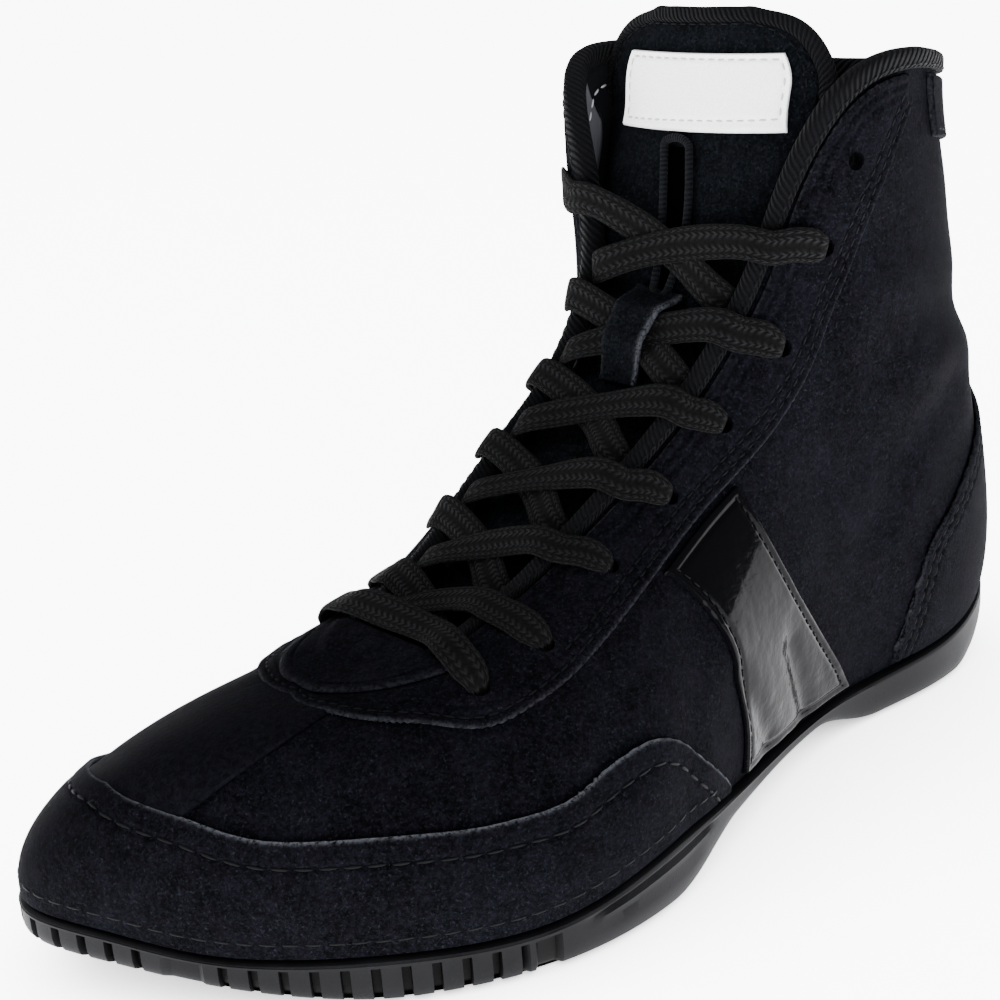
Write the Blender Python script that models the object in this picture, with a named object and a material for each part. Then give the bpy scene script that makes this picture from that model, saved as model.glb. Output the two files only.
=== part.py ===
# High-top wrestling shoe, left foot, standing on its sole.
# +X points to the toe, +Y to the outer (lateral) side, +Z up, metres.
# The upper is one wall spread between two loops: the feather line, where it meets the sole,
# and the top line, which runs round the collar and down both edges of the throat.
# A place on it is (station, rise, lift): the station counts round the shoe from the toe over the
# lateral side, rise goes from 0 at the feather line to 1 at the top line, lift is out of the wall.

import math
from collections import namedtuple

import bmesh
import bpy
import numpy as np

MM = 0.001

# Main sizes of the last, in millimetres
LAST_LENGTH = 264.0
BALL_WIDTH = 104.0
COLLAR_HEIGHT = 160.0

# Sole
LIP_HEIGHT = 20.0
TOE_SPRING = 9.0
ARCH_RISE = 6.5
HEEL_ROLL = 7.0
RIM_WIDTH = 2.2
SEAT_DROP = 4.5
SEAT_FLOOR = 2.6
SEAT_INSET = 4.0
TREAD_INSET = 4.0
TREAD_BEVEL = 2.0
INSOLE_THICKNESS = 3.0
SLOT_WIDTH = 1.8
SLOT_HEIGHT = 5.0
SLOT_DEPTH = 1.3
SLOT_PITCH = 5.8
GROOVE_WIDTH = 2.4
GROOVE_DEPTH = 1.4
GROOVE_PITCH = 9.0
GROOVE_MARGIN = 5.4

# Walls and overlays
WALL = 2.0
CLEARANCE = 0.35
SUEDE_OVERLAY = 1.2
BACK_STAY_THICKNESS = 1.6
LEATHER_STRIP = 0.7
PATENT_OVERLAY = 1.0
BINDING_DEPTH = 3.2
BINDING_WALL = 0.9
BINDING_GAP = 0.75
OVERLAY_TO_BINDING = 1.1

# Throat, lace and tongue
EYELET_DIAMETER = 4.2
EYELET_SIDES = 6
LACE_WIDTH = 8.0
LACE_THICKNESS = 1.6
LACE_GAP = 1.2
LACE_CROWN = 1.6
LACE_BAR_LIFT = 1.8
LACE_EDGE = 0.6
LACE_OVERHANG = 2.0
LACE_TAIL = 0.47
LACE_TAIL_GAP = 5.0
LACE_TAIL_DROP = 0.3
LACE_SAMPLES = 13
LACE_STACK = 0.55
TONGUE_THICKNESS = 2.6
TONGUE_DEPTH = 5.2
TONGUE_HEIGHT = 169.0
TONGUE_HALF_WIDTH = 30.0
TONGUE_TUCK = 13.0
TONGUE_CROWN = 2.0
TAPE_WIDTH = 4.2
TAPE_START = 0.9
TAPE_GAP = 0.6
TAPE_THICKNESS = 3.6
LABEL_WIDTH = 45.0
LABEL_HEIGHT = 17.0
LABEL_THICKNESS = 0.8
LABEL_GAP = 0.7
LABEL_TO_TOP = 8.0
POCKET_LENGTH = 15.5
POCKET_WIDTH = 6.4
POCKET_TO_LABEL = 3.5
WELT_DIAMETER = 2.0
KEEPER_WIDTH = 13.0
KEEPER_THICKNESS = 1.3
KEEPER_RISE = 7.2

# Sampling of the wall: columns round the shoe and rows up it
COLUMNS_PER_STATION = 2
ROWS = 10

# Corners closer than this are one after a cut, in millimetres
MERGE_DISTANCE = 0.005
LACE_MERGE = 0.06

# One row for each station. The feather line and the top line are given as shares of LAST_LENGTH
# (along), BALL_WIDTH (side) and COLLAR_HEIGHT (height), the lift of the feather line as a share of
# LIP_HEIGHT. The low and high pull shape the wall between them: out along the outline's normal,
# as a share of BALL_WIDTH, and up or down as a share of COLLAR_HEIGHT.
Station = namedtuple("Station", "name along side lift low_out low_up high_out high_down "
                                "top_along top_side top_height")
STATIONS = (
    Station("toe tip", 1.000, -0.231, 0.900, 0.029, 0.138, 0.365, -0.019, 0.746, -0.019, 0.312),
    Station("toe corner lateral", 0.973, -0.058, 0.800, 0.038, 0.144, 0.337, -0.019, 0.742, 0.038, 0.319),
    Station("toe side lateral", 0.920, 0.135, 0.600, 0.048, 0.144, 0.308, -0.006, 0.720, 0.087, 0.331),
    Station("ball front lateral", 0.822, 0.346, 0.500, 0.058, 0.144, 0.269, 0.019, 0.678, 0.115, 0.356),
    Station("ball lateral", 0.716, 0.471, 0.500, 0.048, 0.150, 0.231, 0.037, 0.621, 0.135, 0.400),
    Station("ball back lateral", 0.606, 0.481, 0.700, 0.038, 0.144, 0.192, 0.056, 0.557, 0.144, 0.456),
    Station("waist front lateral", 0.500, 0.404, 0.600, 0.048, 0.175, 0.173, 0.087, 0.485, 0.154, 0.525),
    Station("waist lateral", 0.394, 0.317, 0.500, 0.058, 0.212, 0.154, 0.138, 0.417, 0.173, 0.613),
    Station("heel front lateral", 0.288, 0.269, 0.500, 0.067, 0.225, 0.125, 0.200, 0.364, 0.212, 0.738),
    Station("heel side lateral", 0.197, 0.279, 0.550, 0.077, 0.225, 0.067, 0.263, 0.333, 0.269, 0.881),
    Station("heel mid lateral", 0.110, 0.269, 0.650, 0.077, 0.194, 0.010, 0.312, 0.268, 0.352, 0.994),
    Station("heel quarter lateral", 0.027, 0.173, 0.900, 0.077, 0.156, -0.038, 0.338, 0.133, 0.308, 0.978),
    Station("heel back", -0.004, -0.029, 1.000, 0.048, 0.200, -0.144, 0.312, 0.057, -0.019, 0.944),
    Station("heel quarter medial", 0.030, -0.240, 0.900, 0.077, 0.156, -0.029, 0.338, 0.127, -0.346, 0.972),
    Station("heel mid medial", 0.114, -0.327, 0.650, 0.077, 0.194, 0.019, 0.312, 0.284, -0.399, 1.016),
    Station("heel side medial", 0.201, -0.327, 0.550, 0.077, 0.225, 0.077, 0.263, 0.356, -0.317, 0.950),
    Station("heel front medial", 0.295, -0.298, 0.500, 0.067, 0.225, 0.125, 0.200, 0.375, -0.231, 0.775),
    Station("waist medial", 0.402, -0.279, 0.550, 0.077, 0.237, 0.154, 0.138, 0.424, -0.202, 0.625),
    Station("waist front medial", 0.508, -0.317, 0.600, 0.087, 0.200, 0.154, 0.087, 0.489, -0.192, 0.537),
    Station("ball back medial", 0.614, -0.404, 0.600, 0.067, 0.150, 0.154, 0.069, 0.557, -0.183, 0.463),
    Station("ball medial", 0.720, -0.481, 0.550, 0.048, 0.125, 0.163, 0.075, 0.617, -0.163, 0.400),
    Station("ball front medial", 0.822, -0.500, 0.550, 0.038, 0.106, 0.173, 0.050, 0.674, -0.154, 0.356),
    Station("toe side medial", 0.917, -0.452, 0.700, 0.038, 0.100, 0.212, 0.025, 0.716, -0.125, 0.331),
    Station("toe corner medial", 0.973, -0.365, 0.850, 0.029, 0.113, 0.288, 0.000, 0.739, -0.077, 0.319),
)
ROUND = len(STATIONS)
COLUMNS = ROUND * COLUMNS_PER_STATION

# Edges of the overlays: rise above the feather line at a station, the same on both sides
Edge = namedtuple("Edge", "station rise")
GUARD_EDGE = (
    Edge(0.0, 0.455), Edge(1.0, 0.410), Edge(1.8, 0.375), Edge(2.7, 0.375), Edge(3.5, 0.335),
    Edge(4.0, 0.325), Edge(4.4, 0.360), Edge(4.8, 0.335), Edge(5.0, 0.275), Edge(5.5, 0.145),
    Edge(5.9, 0.040),
)
EYESTAY_EDGE = (
    Edge(0.0, 0.860), Edge(1.4, 0.785), Edge(2.6, 0.695), Edge(3.4, 0.605), Edge(3.9, 0.620),
    Edge(4.5, 0.645), Edge(6.1, 0.730), Edge(7.6, 0.720), Edge(8.9, 0.730), Edge(9.5, 0.760),
    Edge(10.0, 0.840), Edge(10.4, 0.930),
)
COUNTER_EDGE = (
    Edge(8.8, 0.040), Edge(9.3, 0.215), Edge(10.0, 0.310), Edge(10.8, 0.420), Edge(11.5, 0.500),
    Edge(12.0, 0.520),
)
OVERLAY_FOOT = 0.015
STRIP_SIDES = (-0.65, 1.05)
SADDLE_LOW = (6.2, 8.1)
SADDLE_HIGH = (5.4, 6.7)
SADDLE_GAP = 0.02
CUFF_END = 10.7
CUFF_FOOT = 0.885
STAY_HALF_STATION = 0.42
STAY_RISE = (0.545, 0.865)

# Eyelet rows: place on the wall at the lateral side and station at the medial side, and the
# station of the throat edge where the lace of that row leaves it, on the lateral side
EyeletRow = namedtuple("EyeletRow", "lateral medial rise edge")
EYELET_ROWS = (
    EyeletRow(3.20, 20.80, 0.740, 2.62),
    EyeletRow(3.92, 20.08, 0.755, 3.70),
    EyeletRow(4.90, 19.10, 0.810, 4.75),
    EyeletRow(5.88, 18.12, 0.830, 5.75),
    EyeletRow(6.90, 17.10, 0.850, 6.75),
    EyeletRow(8.03, 15.97, 0.820, 7.60),
    EyeletRow(9.18, 14.84, 0.825, 8.40),
    EyeletRow(9.72, 14.28, 0.890, 9.10),
)
LACED_ROWS = 7

# The tongue follows the throat up to the collar, then stands free: its upper rows are shares of
# TONGUE_HEIGHT (height), LAST_LENGTH (along) and TONGUE_HALF_WIDTH (half_width, setback)
TONGUE_STATIONS = (1.3, 2.6, 3.9, 5.2, 6.4, 7.4, 8.2)
TongueRow = namedtuple("TongueRow", "height along side half_width setback")
TONGUE_TOP_ROWS = (
    TongueRow(0.860, 0.332, 0.00, 0.86, 0.42),
    TongueRow(0.930, 0.321, 0.00, 0.90, 0.32),
    TongueRow(0.980, 0.313, 0.00, 0.76, 0.18),
    TongueRow(1.000, 0.308, 0.00, 0.40, 0.06),
)


# Curves through rows of points
def closed_slopes(points):
    count = len(points)
    system = 4.0 * np.eye(count) + np.roll(np.eye(count), 1, 0) + np.roll(np.eye(count), -1, 0)
    return np.linalg.solve(system, 3.0 * (np.roll(points, -1, 0) - np.roll(points, 1, 0)))


def open_slopes(points):
    count = len(points)
    system = 4.0 * np.eye(count) + np.eye(count, k=1) + np.eye(count, k=-1)
    system[0, 0] = 2.0
    system[-1, -1] = 2.0
    rise = np.empty_like(points)
    rise[1:-1] = 3.0 * (points[2:] - points[:-2])
    rise[0] = 3.0 * (points[1] - points[0])
    rise[-1] = 3.0 * (points[-1] - points[-2])
    return np.linalg.solve(system, rise)


def hermite(start, end, start_slope, end_slope, share):
    square = share * share
    cube = square * share
    return ((2 * cube - 3 * square + 1) * start + (cube - 2 * square + share) * start_slope
            + (3 * square - 2 * cube) * end + (cube - square) * end_slope)


def closed_curve(points, slopes, place):
    first = int(math.floor(place))
    share = place - first
    a = first % len(points)
    b = (first + 1) % len(points)
    return hermite(points[a], points[b], slopes[a], slopes[b], share)


def open_curve(points, share):
    points = np.asarray(points, dtype=float)
    slopes = open_slopes(points)
    place = share * (len(points) - 1)
    first = min(int(place), len(points) - 2)
    return hermite(points[first], points[first + 1], slopes[first], slopes[first + 1], place - first)


def unit(vector):
    return vector / np.linalg.norm(vector)


def edge_rise(edges, station):
    """Rise of an overlay's edge at a station, counted from its middle on either side."""
    return float(np.interp(station, [edge.station for edge in edges], [edge.rise for edge in edges]))


# The upper's own function
def control_loops():
    """Four loops of control points: feather line, low pull, high pull and top line."""
    feather = np.array([(s.along * LAST_LENGTH, s.side * BALL_WIDTH, s.lift * LIP_HEIGHT)
                        for s in STATIONS])
    top = np.array([(s.top_along * LAST_LENGTH, s.top_side * BALL_WIDTH, s.top_height * COLLAR_HEIGHT)
                    for s in STATIONS])
    run = closed_slopes(feather)
    outward = np.stack([run[:, 1], -run[:, 0], np.zeros(ROUND)], axis=1)
    outward /= -np.linalg.norm(outward, axis=1)[:, None]
    if outward[0, 0] < 0:
        outward = -outward
    up = np.array([0.0, 0.0, 1.0])
    low = feather.copy()
    high = top.copy()
    for row, s in enumerate(STATIONS):
        low[row] += outward[row] * s.low_out * BALL_WIDTH + up * s.low_up * COLLAR_HEIGHT
        high[row] += outward[row] * s.high_out * BALL_WIDTH - up * s.high_down * COLLAR_HEIGHT
    return [(loop, closed_slopes(loop)) for loop in (feather, low, high, top)]


LOOPS = control_loops()
FEATHER_TURNS = closed_slopes(LOOPS[0][1])


def wall_point(station, rise):
    feather, low, high, top = [closed_curve(loop, slopes, station) for loop, slopes in LOOPS]
    rest = 1.0 - rise
    return (rest ** 3 * feather + 3 * rise * rest ** 2 * low
            + 3 * rise ** 2 * rest * high + rise ** 3 * top)


def wall_slopes(station, rise, step=0.002):
    low_rise = min(max(rise, step), 1.0 - step)
    along = (wall_point(station + step, rise) - wall_point(station - step, rise)) / (2 * step)
    upward = (wall_point(station, low_rise + step) - wall_point(station, low_rise - step)) / (2 * step)
    return along, upward


def wall_normal(station, rise):
    along, upward = wall_slopes(station, rise)
    return unit(np.cross(along, upward))


def on_wall(station, rise, lift=0.0):
    return wall_point(station, rise) + wall_normal(station, rise) * lift


def edge_place(station, setback):
    """Station and rise of the place on the wall that lies setback from the top line."""
    along, upward = wall_slopes(station, 1.0)
    normal = unit(np.cross(along, upward))
    inward = unit(np.cross(along, normal))
    if np.dot(inward, upward) > 0:
        inward = -inward
    shift = np.linalg.lstsq(np.stack([along, upward], axis=1), inward * setback, rcond=None)[0]
    return station + shift[0], 1.0 + shift[1]


def near_edge(station, setback, lift):
    where, rise = edge_place(station, setback)
    return on_wall(where, rise, lift)


def binding_clear_rise(station):
    """Highest rise of an overlay that stops short of the binding."""
    along, upward = wall_slopes(station, 1.0)
    across = np.linalg.norm(np.cross(unit(along), upward))
    return 1.0 - (BINDING_DEPTH + OVERLAY_TO_BINDING) / across


# Height of the tread above the floor, along the shoe
def smooth(share):
    share = min(max(share, 0.0), 1.0)
    return share * share * (3.0 - 2.0 * share)


TOE_START, HEEL_ROLL_END = 0.84, 0.055
HEEL_BREAST, ARCH_BACK, ARCH_FRONT, TREAD_START = 0.24, 0.34, 0.50, 0.61


def tread_height(x):
    along = x / LAST_LENGTH
    toe = TOE_SPRING * smooth((along - TOE_START) / (1.06 - TOE_START))
    roll = HEEL_ROLL * smooth((HEEL_ROLL_END - along) / HEEL_ROLL_END)
    arch = ARCH_RISE * smooth((along - HEEL_BREAST) / (ARCH_BACK - HEEL_BREAST))
    arch *= smooth((TREAD_START - along) / (TREAD_START - ARCH_FRONT))
    return toe + roll + arch


# Meshes
def new_material(name, colour, roughness, metallic=0.0):
    material = bpy.data.materials.new(name)
    material.use_nodes = True
    shader = material.node_tree.nodes["Principled BSDF"]
    shader.inputs["Base Color"].default_value = (*colour, 1.0)
    shader.inputs["Roughness"].default_value = roughness
    shader.inputs["Metallic"].default_value = metallic
    return material


def add_piece(name, shape, material):
    """Makes an object of a bmesh in millimetres."""
    bmesh.ops.scale(shape, vec=(MM, MM, MM), verts=shape.verts)
    mesh = bpy.data.meshes.new(name)
    shape.to_mesh(mesh)
    shape.free()
    mesh.materials.append(material)
    piece = bpy.data.objects.new(name, mesh)
    bpy.context.scene.collection.objects.link(piece)
    return piece


def loft(rings, closed_across=False, caps=True):
    """Skin over rings of points; closed_across joins the last ring to the first."""
    shape = bmesh.new()
    made = [[shape.verts.new(point) for point in ring] for ring in rings]
    count = len(made[0])
    last = len(made) if closed_across else len(made) - 1
    for row in range(last):
        lower = made[row]
        upper = made[(row + 1) % len(made)]
        for i in range(count):
            j = (i + 1) % count
            shape.faces.new((lower[i], lower[j], upper[j], upper[i]))
    if caps and not closed_across:
        shape.faces.new(list(reversed(made[0])))
        shape.faces.new(made[-1])
    return shape


def tidy(shape):
    """Triangles with their faces pointing out, and its volume for checking the side."""
    bmesh.ops.triangulate(shape, faces=shape.faces)
    bmesh.ops.recalc_face_normals(shape, faces=shape.faces)
    if shape.calc_volume(signed=True) < 0:
        bmesh.ops.reverse_faces(shape, faces=shape.faces)
    return shape


def combined(first, second, operation):
    """Boolean of two bmeshes, which are used up."""
    holders = []
    for shape in (first, second):
        mesh = bpy.data.meshes.new("blank")
        shape.to_mesh(mesh)
        shape.free()
        holder = bpy.data.objects.new("blank", mesh)
        bpy.context.scene.collection.objects.link(holder)
        holders.append(holder)
    boolean = holders[0].modifiers.new("cut", "BOOLEAN")
    boolean.operation = operation
    boolean.solver = "EXACT"
    boolean.object = holders[1]
    result = bmesh.new()
    result.from_object(holders[0], bpy.context.evaluated_depsgraph_get())
    for holder in holders:
        mesh = holder.data
        bpy.data.objects.remove(holder)
        bpy.data.meshes.remove(mesh)
    return result


def box_at(shape, centre, axes, sizes):
    """Adds a box to a bmesh: its three axes are unit vectors and its sizes are full lengths."""
    corners = []
    for i in (-0.5, 0.5):
        for j in (-0.5, 0.5):
            for k in (-0.5, 0.5):
                corner = centre + axes[0] * sizes[0] * i + axes[1] * sizes[1] * j + axes[2] * sizes[2] * k
                corners.append(shape.verts.new(corner))
    for face in ((0, 1, 3, 2), (4, 6, 7, 5), (0, 4, 5, 1), (2, 3, 7, 6), (0, 2, 6, 4), (1, 5, 7, 3)):
        shape.faces.new([corners[i] for i in face])


def sheet_of(place_of, across, along, thickness_top, thickness_bottom):
    """Closed sheet over a grid of parameters, between two lifts of one surface function."""
    shape = bmesh.new()
    layers = []
    for lift in (thickness_top, thickness_bottom):
        layers.append([[shape.verts.new(place_of(a, b, lift)) for b in along] for a in across])
    rows = len(across)
    columns = len(along)
    for layer in layers:
        for i in range(rows - 1):
            for j in range(columns - 1):
                shape.faces.new((layer[i][j], layer[i + 1][j], layer[i + 1][j + 1], layer[i][j + 1]))
    top, bottom = layers
    for i in range(rows - 1):
        for j in (0, columns - 1):
            shape.faces.new((top[i][j], top[i + 1][j], bottom[i + 1][j], bottom[i][j]))
    for j in range(columns - 1):
        for i in (0, rows - 1):
            shape.faces.new((top[i][j], top[i][j + 1], bottom[i][j + 1], bottom[i][j]))
    return tidy(shape)


def rod(path, frames, width, thickness, sides):
    """Solid swept along a path of points; a frame is the width direction and the normal."""
    reach = math.sqrt(2.0) if sides == 4 else 1.0
    rings = []
    for point, (sideways, normal) in zip(path, frames):
        ring = []
        for k in range(sides):
            angle = 2 * math.pi * (k + 0.5) / sides
            ring.append(point + sideways * math.cos(angle) * reach * width / 2
                        + normal * math.sin(angle) * reach * thickness / 2)
        rings.append(ring)
    return tidy(loft(rings))


def path_frames(path, normals):
    frames = []
    for i in range(len(path)):
        ahead = path[min(i + 1, len(path) - 1)] - path[max(i - 1, 0)]
        sideways = unit(np.cross(normals[i], ahead))
        frames.append((sideways, unit(np.cross(ahead, sideways))))
    return frames


# Overlays are cut from a slab in the wall's own stations and rises, then laid on the wall
RISE_STRETCH = 20.0


def overlay(outline, inner_lift, outer_lift):
    """Piece of the form between two lifts of the wall, inside an outline of (station, rise)."""
    first = math.floor(min(place[0] for place in outline)) - 1
    last = math.ceil(max(place[0] for place in outline)) + 1
    slab = sheet_of(lambda a, b, lift: (a, b * RISE_STRETCH, lift),
                    [first + i / COLUMNS_PER_STATION
                     for i in range((last - first) * COLUMNS_PER_STATION + 1)],
                    [i / ROWS for i in range(ROWS + 1)], outer_lift, inner_lift)
    cutter = loft([[(a, b * RISE_STRETCH, inner_lift - 1.0) for a, b in outline],
                   [(a, b * RISE_STRETCH, outer_lift + 1.0) for a, b in outline]])
    cut = combined(slab, tidy(cutter), "INTERSECT")
    bmesh.ops.remove_doubles(cut, verts=cut.verts, dist=MERGE_DISTANCE)
    bmesh.ops.triangulate(cut, faces=cut.faces)
    for vert in cut.verts:
        station, rise, lift = vert.co
        vert.co = on_wall(station, rise / RISE_STRETCH, lift)
    return tidy(cut)


def steps(first, last, size=1.0 / COLUMNS_PER_STATION):
    """Stations from first to last, with the wall's own columns between them."""
    inner = [i * size for i in range(math.ceil(first / size), math.floor(last / size) + 1)]
    inner = [a for a in inner if first + 0.05 < a < last - 0.05]
    return [first] + inner + [last]


# Start from an empty scene
for leftover in list(bpy.data.objects):
    bpy.data.objects.remove(leftover)

RUBBER = new_material("rubber", (0.028, 0.028, 0.031), 0.55)
SUEDE = new_material("suede", (0.012, 0.013, 0.018), 0.9)
GRAINED = new_material("grained_leather", (0.012, 0.013, 0.017), 0.6)
PATENT = new_material("patent_leather", (0.008, 0.008, 0.009), 0.08)
TAPE = new_material("binding_tape", (0.013, 0.013, 0.015), 0.85)
LACE = new_material("lace_cotton", (0.032, 0.032, 0.034), 0.9)
FOAM = new_material("insole_fabric", (0.05, 0.05, 0.055), 0.9)
LABEL = new_material("label_fabric", (0.80, 0.80, 0.78), 0.8)


# Outsole: rim under the upper, seat for the insole, sidewall and tread
def outline_point(station, offset, height):
    feather = wall_point(station, 0.0)
    run = closed_curve(LOOPS[0][1], FEATHER_TURNS, station)
    outward = unit(np.array([run[1], -run[0], 0.0]))
    if np.dot(outward, feather - np.array([LAST_LENGTH / 2, 0.0, feather[2]])) < 0:
        outward = -outward
    place = feather + outward * offset
    return np.array([place[0], place[1], height(place[0], feather[2])])


def ring_at(offset, height):
    return [outline_point(i / COLUMNS_PER_STATION, offset, height) for i in range(COLUMNS)]


def laddered(rings, height_low, height_high):
    """Closed body of rings whose two ends are filled by strips from lateral to medial."""
    shape = loft(rings, caps=False)
    shape.verts.ensure_lookup_table()
    across = 4
    for level, height in ((0, height_low), (len(rings) - 1, height_high)):
        base = level * COLUMNS
        rows = []
        for k in range(1, COLUMNS // 2):
            left = shape.verts[base + k]
            right = shape.verts[base + COLUMNS - k]
            row = [left]
            for i in range(1, across):
                place = left.co.lerp(right.co, i / across)
                if height:
                    place.z = height(place.x)
                row.append(shape.verts.new(place))
            rows.append(row + [right])
            shape.verts.ensure_lookup_table()
        for lower, upper in zip(rows, rows[1:]):
            for i in range(across):
                shape.faces.new((lower[i], lower[i + 1], upper[i + 1], upper[i]))
        for end, row in ((shape.verts[base], rows[0]), (shape.verts[base + COLUMNS // 2], rows[-1])):
            for i in range(across):
                shape.faces.new((row[i], row[i + 1], end))
    return tidy(shape)


def seat_height(x, lip):
    return max(lip - SEAT_DROP, tread_height(x) + SEAT_FLOOR)


def sidewall_slots():
    """Upright slots round the toe, all the way to the lateral ball."""
    cutter = bmesh.new()
    station = -4.6
    while station < 3.7:
        low = outline_point(station, 0.0, lambda x, lip: tread_height(x))
        lip = wall_point(station, 0.0)[2]
        centre = outline_point(station, RIM_WIDTH, lambda x, top: 0.0)
        centre[2] = low[2] + 0.48 * (lip - low[2])
        outward = unit(outline_point(station, RIM_WIDTH, lambda x, top: 0.0)
                       - outline_point(station, 0.0, lambda x, top: 0.0))
        along = np.cross(np.array([0.0, 0.0, 1.0]), outward)
        height = min(SLOT_HEIGHT, 0.62 * (lip - low[2]))
        box_at(cutter, centre, (outward, along, np.array([0.0, 0.0, 1.0])),
               (2 * SLOT_DEPTH, SLOT_WIDTH, height))
        run = np.linalg.norm(wall_point(station + 0.05, 0.0) - wall_point(station - 0.05, 0.0)) / 0.1
        station += SLOT_PITCH / run
    return tidy(cutter)


def tread_grooves():
    """Shallow cross grooves under the heel and the forefoot."""
    cutter = bmesh.new()
    axes = (np.array([1.0, 0.0, 0.0]), np.array([0.0, 1.0, 0.0]), np.array([0.0, 0.0, 1.0]))
    half = [ROUND / 2 * i / 40 for i in range(40, -1, -1)]
    lateral = np.array([wall_point(station, 0.0) for station in half])
    medial = np.array([wall_point(ROUND - station, 0.0) for station in half])
    margin = TREAD_INSET + GROOVE_MARGIN
    for first, last in ((0.09 * LAST_LENGTH, HEEL_BREAST * LAST_LENGTH),
                        (TREAD_START * LAST_LENGTH, 0.85 * LAST_LENGTH)):
        count = int((last - first) / GROOVE_PITCH)
        for i in range(count + 1):
            x = first + i * GROOVE_PITCH
            low = np.interp(x, medial[:, 0], medial[:, 1]) + margin
            high = np.interp(x, lateral[:, 0], lateral[:, 1]) - margin
            centre = np.array([x, (low + high) / 2, tread_height(x)])
            box_at(cutter, centre, axes, (GROOVE_WIDTH, high - low, 2 * GROOVE_DEPTH))
    return tidy(cutter)


def make_outsole():
    seat = ring_at(-SEAT_INSET, seat_height)
    rim_in = ring_at(-WALL - 0.8, lambda x, lip: lip - CLEARANCE)
    rim_out = ring_at(RIM_WIDTH - 0.4, lambda x, lip: lip - CLEARANCE)
    rim_edge = ring_at(RIM_WIDTH, lambda x, lip: lip - CLEARANCE - 0.8)
    side = ring_at(RIM_WIDTH, lambda x, lip: tread_height(x) + 0.3 * (lip - tread_height(x)) + 0.6)
    bottom = ring_at(RIM_WIDTH - TREAD_BEVEL, lambda x, lip: tread_height(x) + 0.7)
    tread = ring_at(-TREAD_INSET, lambda x, lip: tread_height(x))
    body = laddered([seat, rim_in, rim_out, rim_edge, side, bottom, tread], None, tread_height)
    body = combined(body, sidewall_slots(), "DIFFERENCE")
    body = combined(body, tread_grooves(), "DIFFERENCE")
    bmesh.ops.remove_doubles(body, verts=body.verts, dist=MERGE_DISTANCE)
    return add_piece("outsole", tidy(body), RUBBER)


def make_insole():
    inset = -SEAT_INSET - 0.7
    lower = ring_at(inset, lambda x, lip: seat_height(x, lip) + CLEARANCE)
    upper = ring_at(inset, lambda x, lip: seat_height(x, lip) + CLEARANCE + INSOLE_THICKNESS)
    return add_piece("insole", laddered([lower, upper], None, None), FOAM)


# Upper: one wall, open at the collar, the throat and underneath
def eyelet_cutters():
    cutter = bmesh.new()
    for row in EYELET_ROWS:
        for station in (row.lateral, row.medial):
            centre = on_wall(station, row.rise, -WALL / 2)
            normal = wall_normal(station, row.rise)
            sideways = unit(np.cross(normal, np.array([0.0, 0.0, 1.0])))
            other = np.cross(normal, sideways)
            rings = []
            for reach in (-WALL - 1.5, WALL + 3.0):
                ring = []
                for k in range(EYELET_SIDES):
                    angle = 2 * math.pi * k / EYELET_SIDES
                    ring.append(centre + normal * reach + (sideways * math.cos(angle)
                                + other * math.sin(angle)) * EYELET_DIAMETER / 2)
                rings.append(ring)
            made = [[cutter.verts.new(point) for point in ring] for ring in rings]
            for k in range(EYELET_SIDES):
                j = (k + 1) % EYELET_SIDES
                cutter.faces.new((made[0][k], made[0][j], made[1][j], made[1][k]))
            cutter.faces.new(list(reversed(made[0])))
            cutter.faces.new(made[1])
    return tidy(cutter)


def make_upper():
    rings = []
    for lift, rises in ((0.0, range(ROWS + 1)), (-WALL, range(ROWS, -1, -1))):
        for row in rises:
            rings.append([on_wall(i / COLUMNS_PER_STATION, row / ROWS, lift) for i in range(COLUMNS)])
    body = tidy(loft(rings, closed_across=True))
    body = combined(body, eyelet_cutters(), "DIFFERENCE")
    bmesh.ops.remove_doubles(body, verts=body.verts, dist=MERGE_DISTANCE)
    return add_piece("upper", tidy(body), SUEDE)


def under_edge(edges, first, last):
    """Outline from the foot of the wall up to an edge, on both sides of the toe or the heel."""
    return [(station, edge_rise(edges, abs(station))) for station in steps(first, last)]


def make_toe_guard():
    end = GUARD_EDGE[-1].station
    top = under_edge(GUARD_EDGE, -end, end)
    foot = [(station, OVERLAY_FOOT) for station, rise in reversed(top)]
    return add_piece("toe_guard", overlay(top + foot, CLEARANCE, CLEARANCE + SUEDE_OVERLAY), SUEDE)


def make_vamp_strip():
    """Grained leather strip down the middle of the vamp, between guard and eyestay."""
    margin = 0.012
    sides = steps(*STRIP_SIDES)
    low = [(station, edge_rise(GUARD_EDGE, abs(station)) + margin) for station in sides]
    high = [(station, edge_rise(EYESTAY_EDGE, abs(station)) - margin) for station in reversed(sides)]
    return add_piece("vamp_strip", overlay(low + high, CLEARANCE, CLEARANCE + LEATHER_STRIP), GRAINED)


def make_eyestay():
    end = EYESTAY_EDGE[-1].station
    sides = steps(-end, end)
    low = [(station, edge_rise(EYESTAY_EDGE, abs(station))) for station in sides]
    high = [(station, min(0.985, binding_clear_rise(station))) for station in reversed(sides)]
    body = overlay(low + high, CLEARANCE, CLEARANCE + SUEDE_OVERLAY)
    body = combined(body, eyelet_cutters(), "DIFFERENCE")
    bmesh.ops.remove_doubles(body, verts=body.verts, dist=MERGE_DISTANCE)
    return add_piece("eyestay", tidy(body), SUEDE)


def heel_rise(edges, station):
    return edge_rise(edges, ROUND / 2 - abs(station - ROUND / 2))


def make_heel_counter():
    start = COUNTER_EDGE[0].station
    sides = steps(start, ROUND - start)
    low = [(station, OVERLAY_FOOT) for station in sides]
    high = [(station, heel_rise(COUNTER_EDGE, station)) for station in reversed(sides)]
    return add_piece("heel_counter", overlay(low + high, CLEARANCE, CLEARANCE + SUEDE_OVERLAY), SUEDE)


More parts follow.
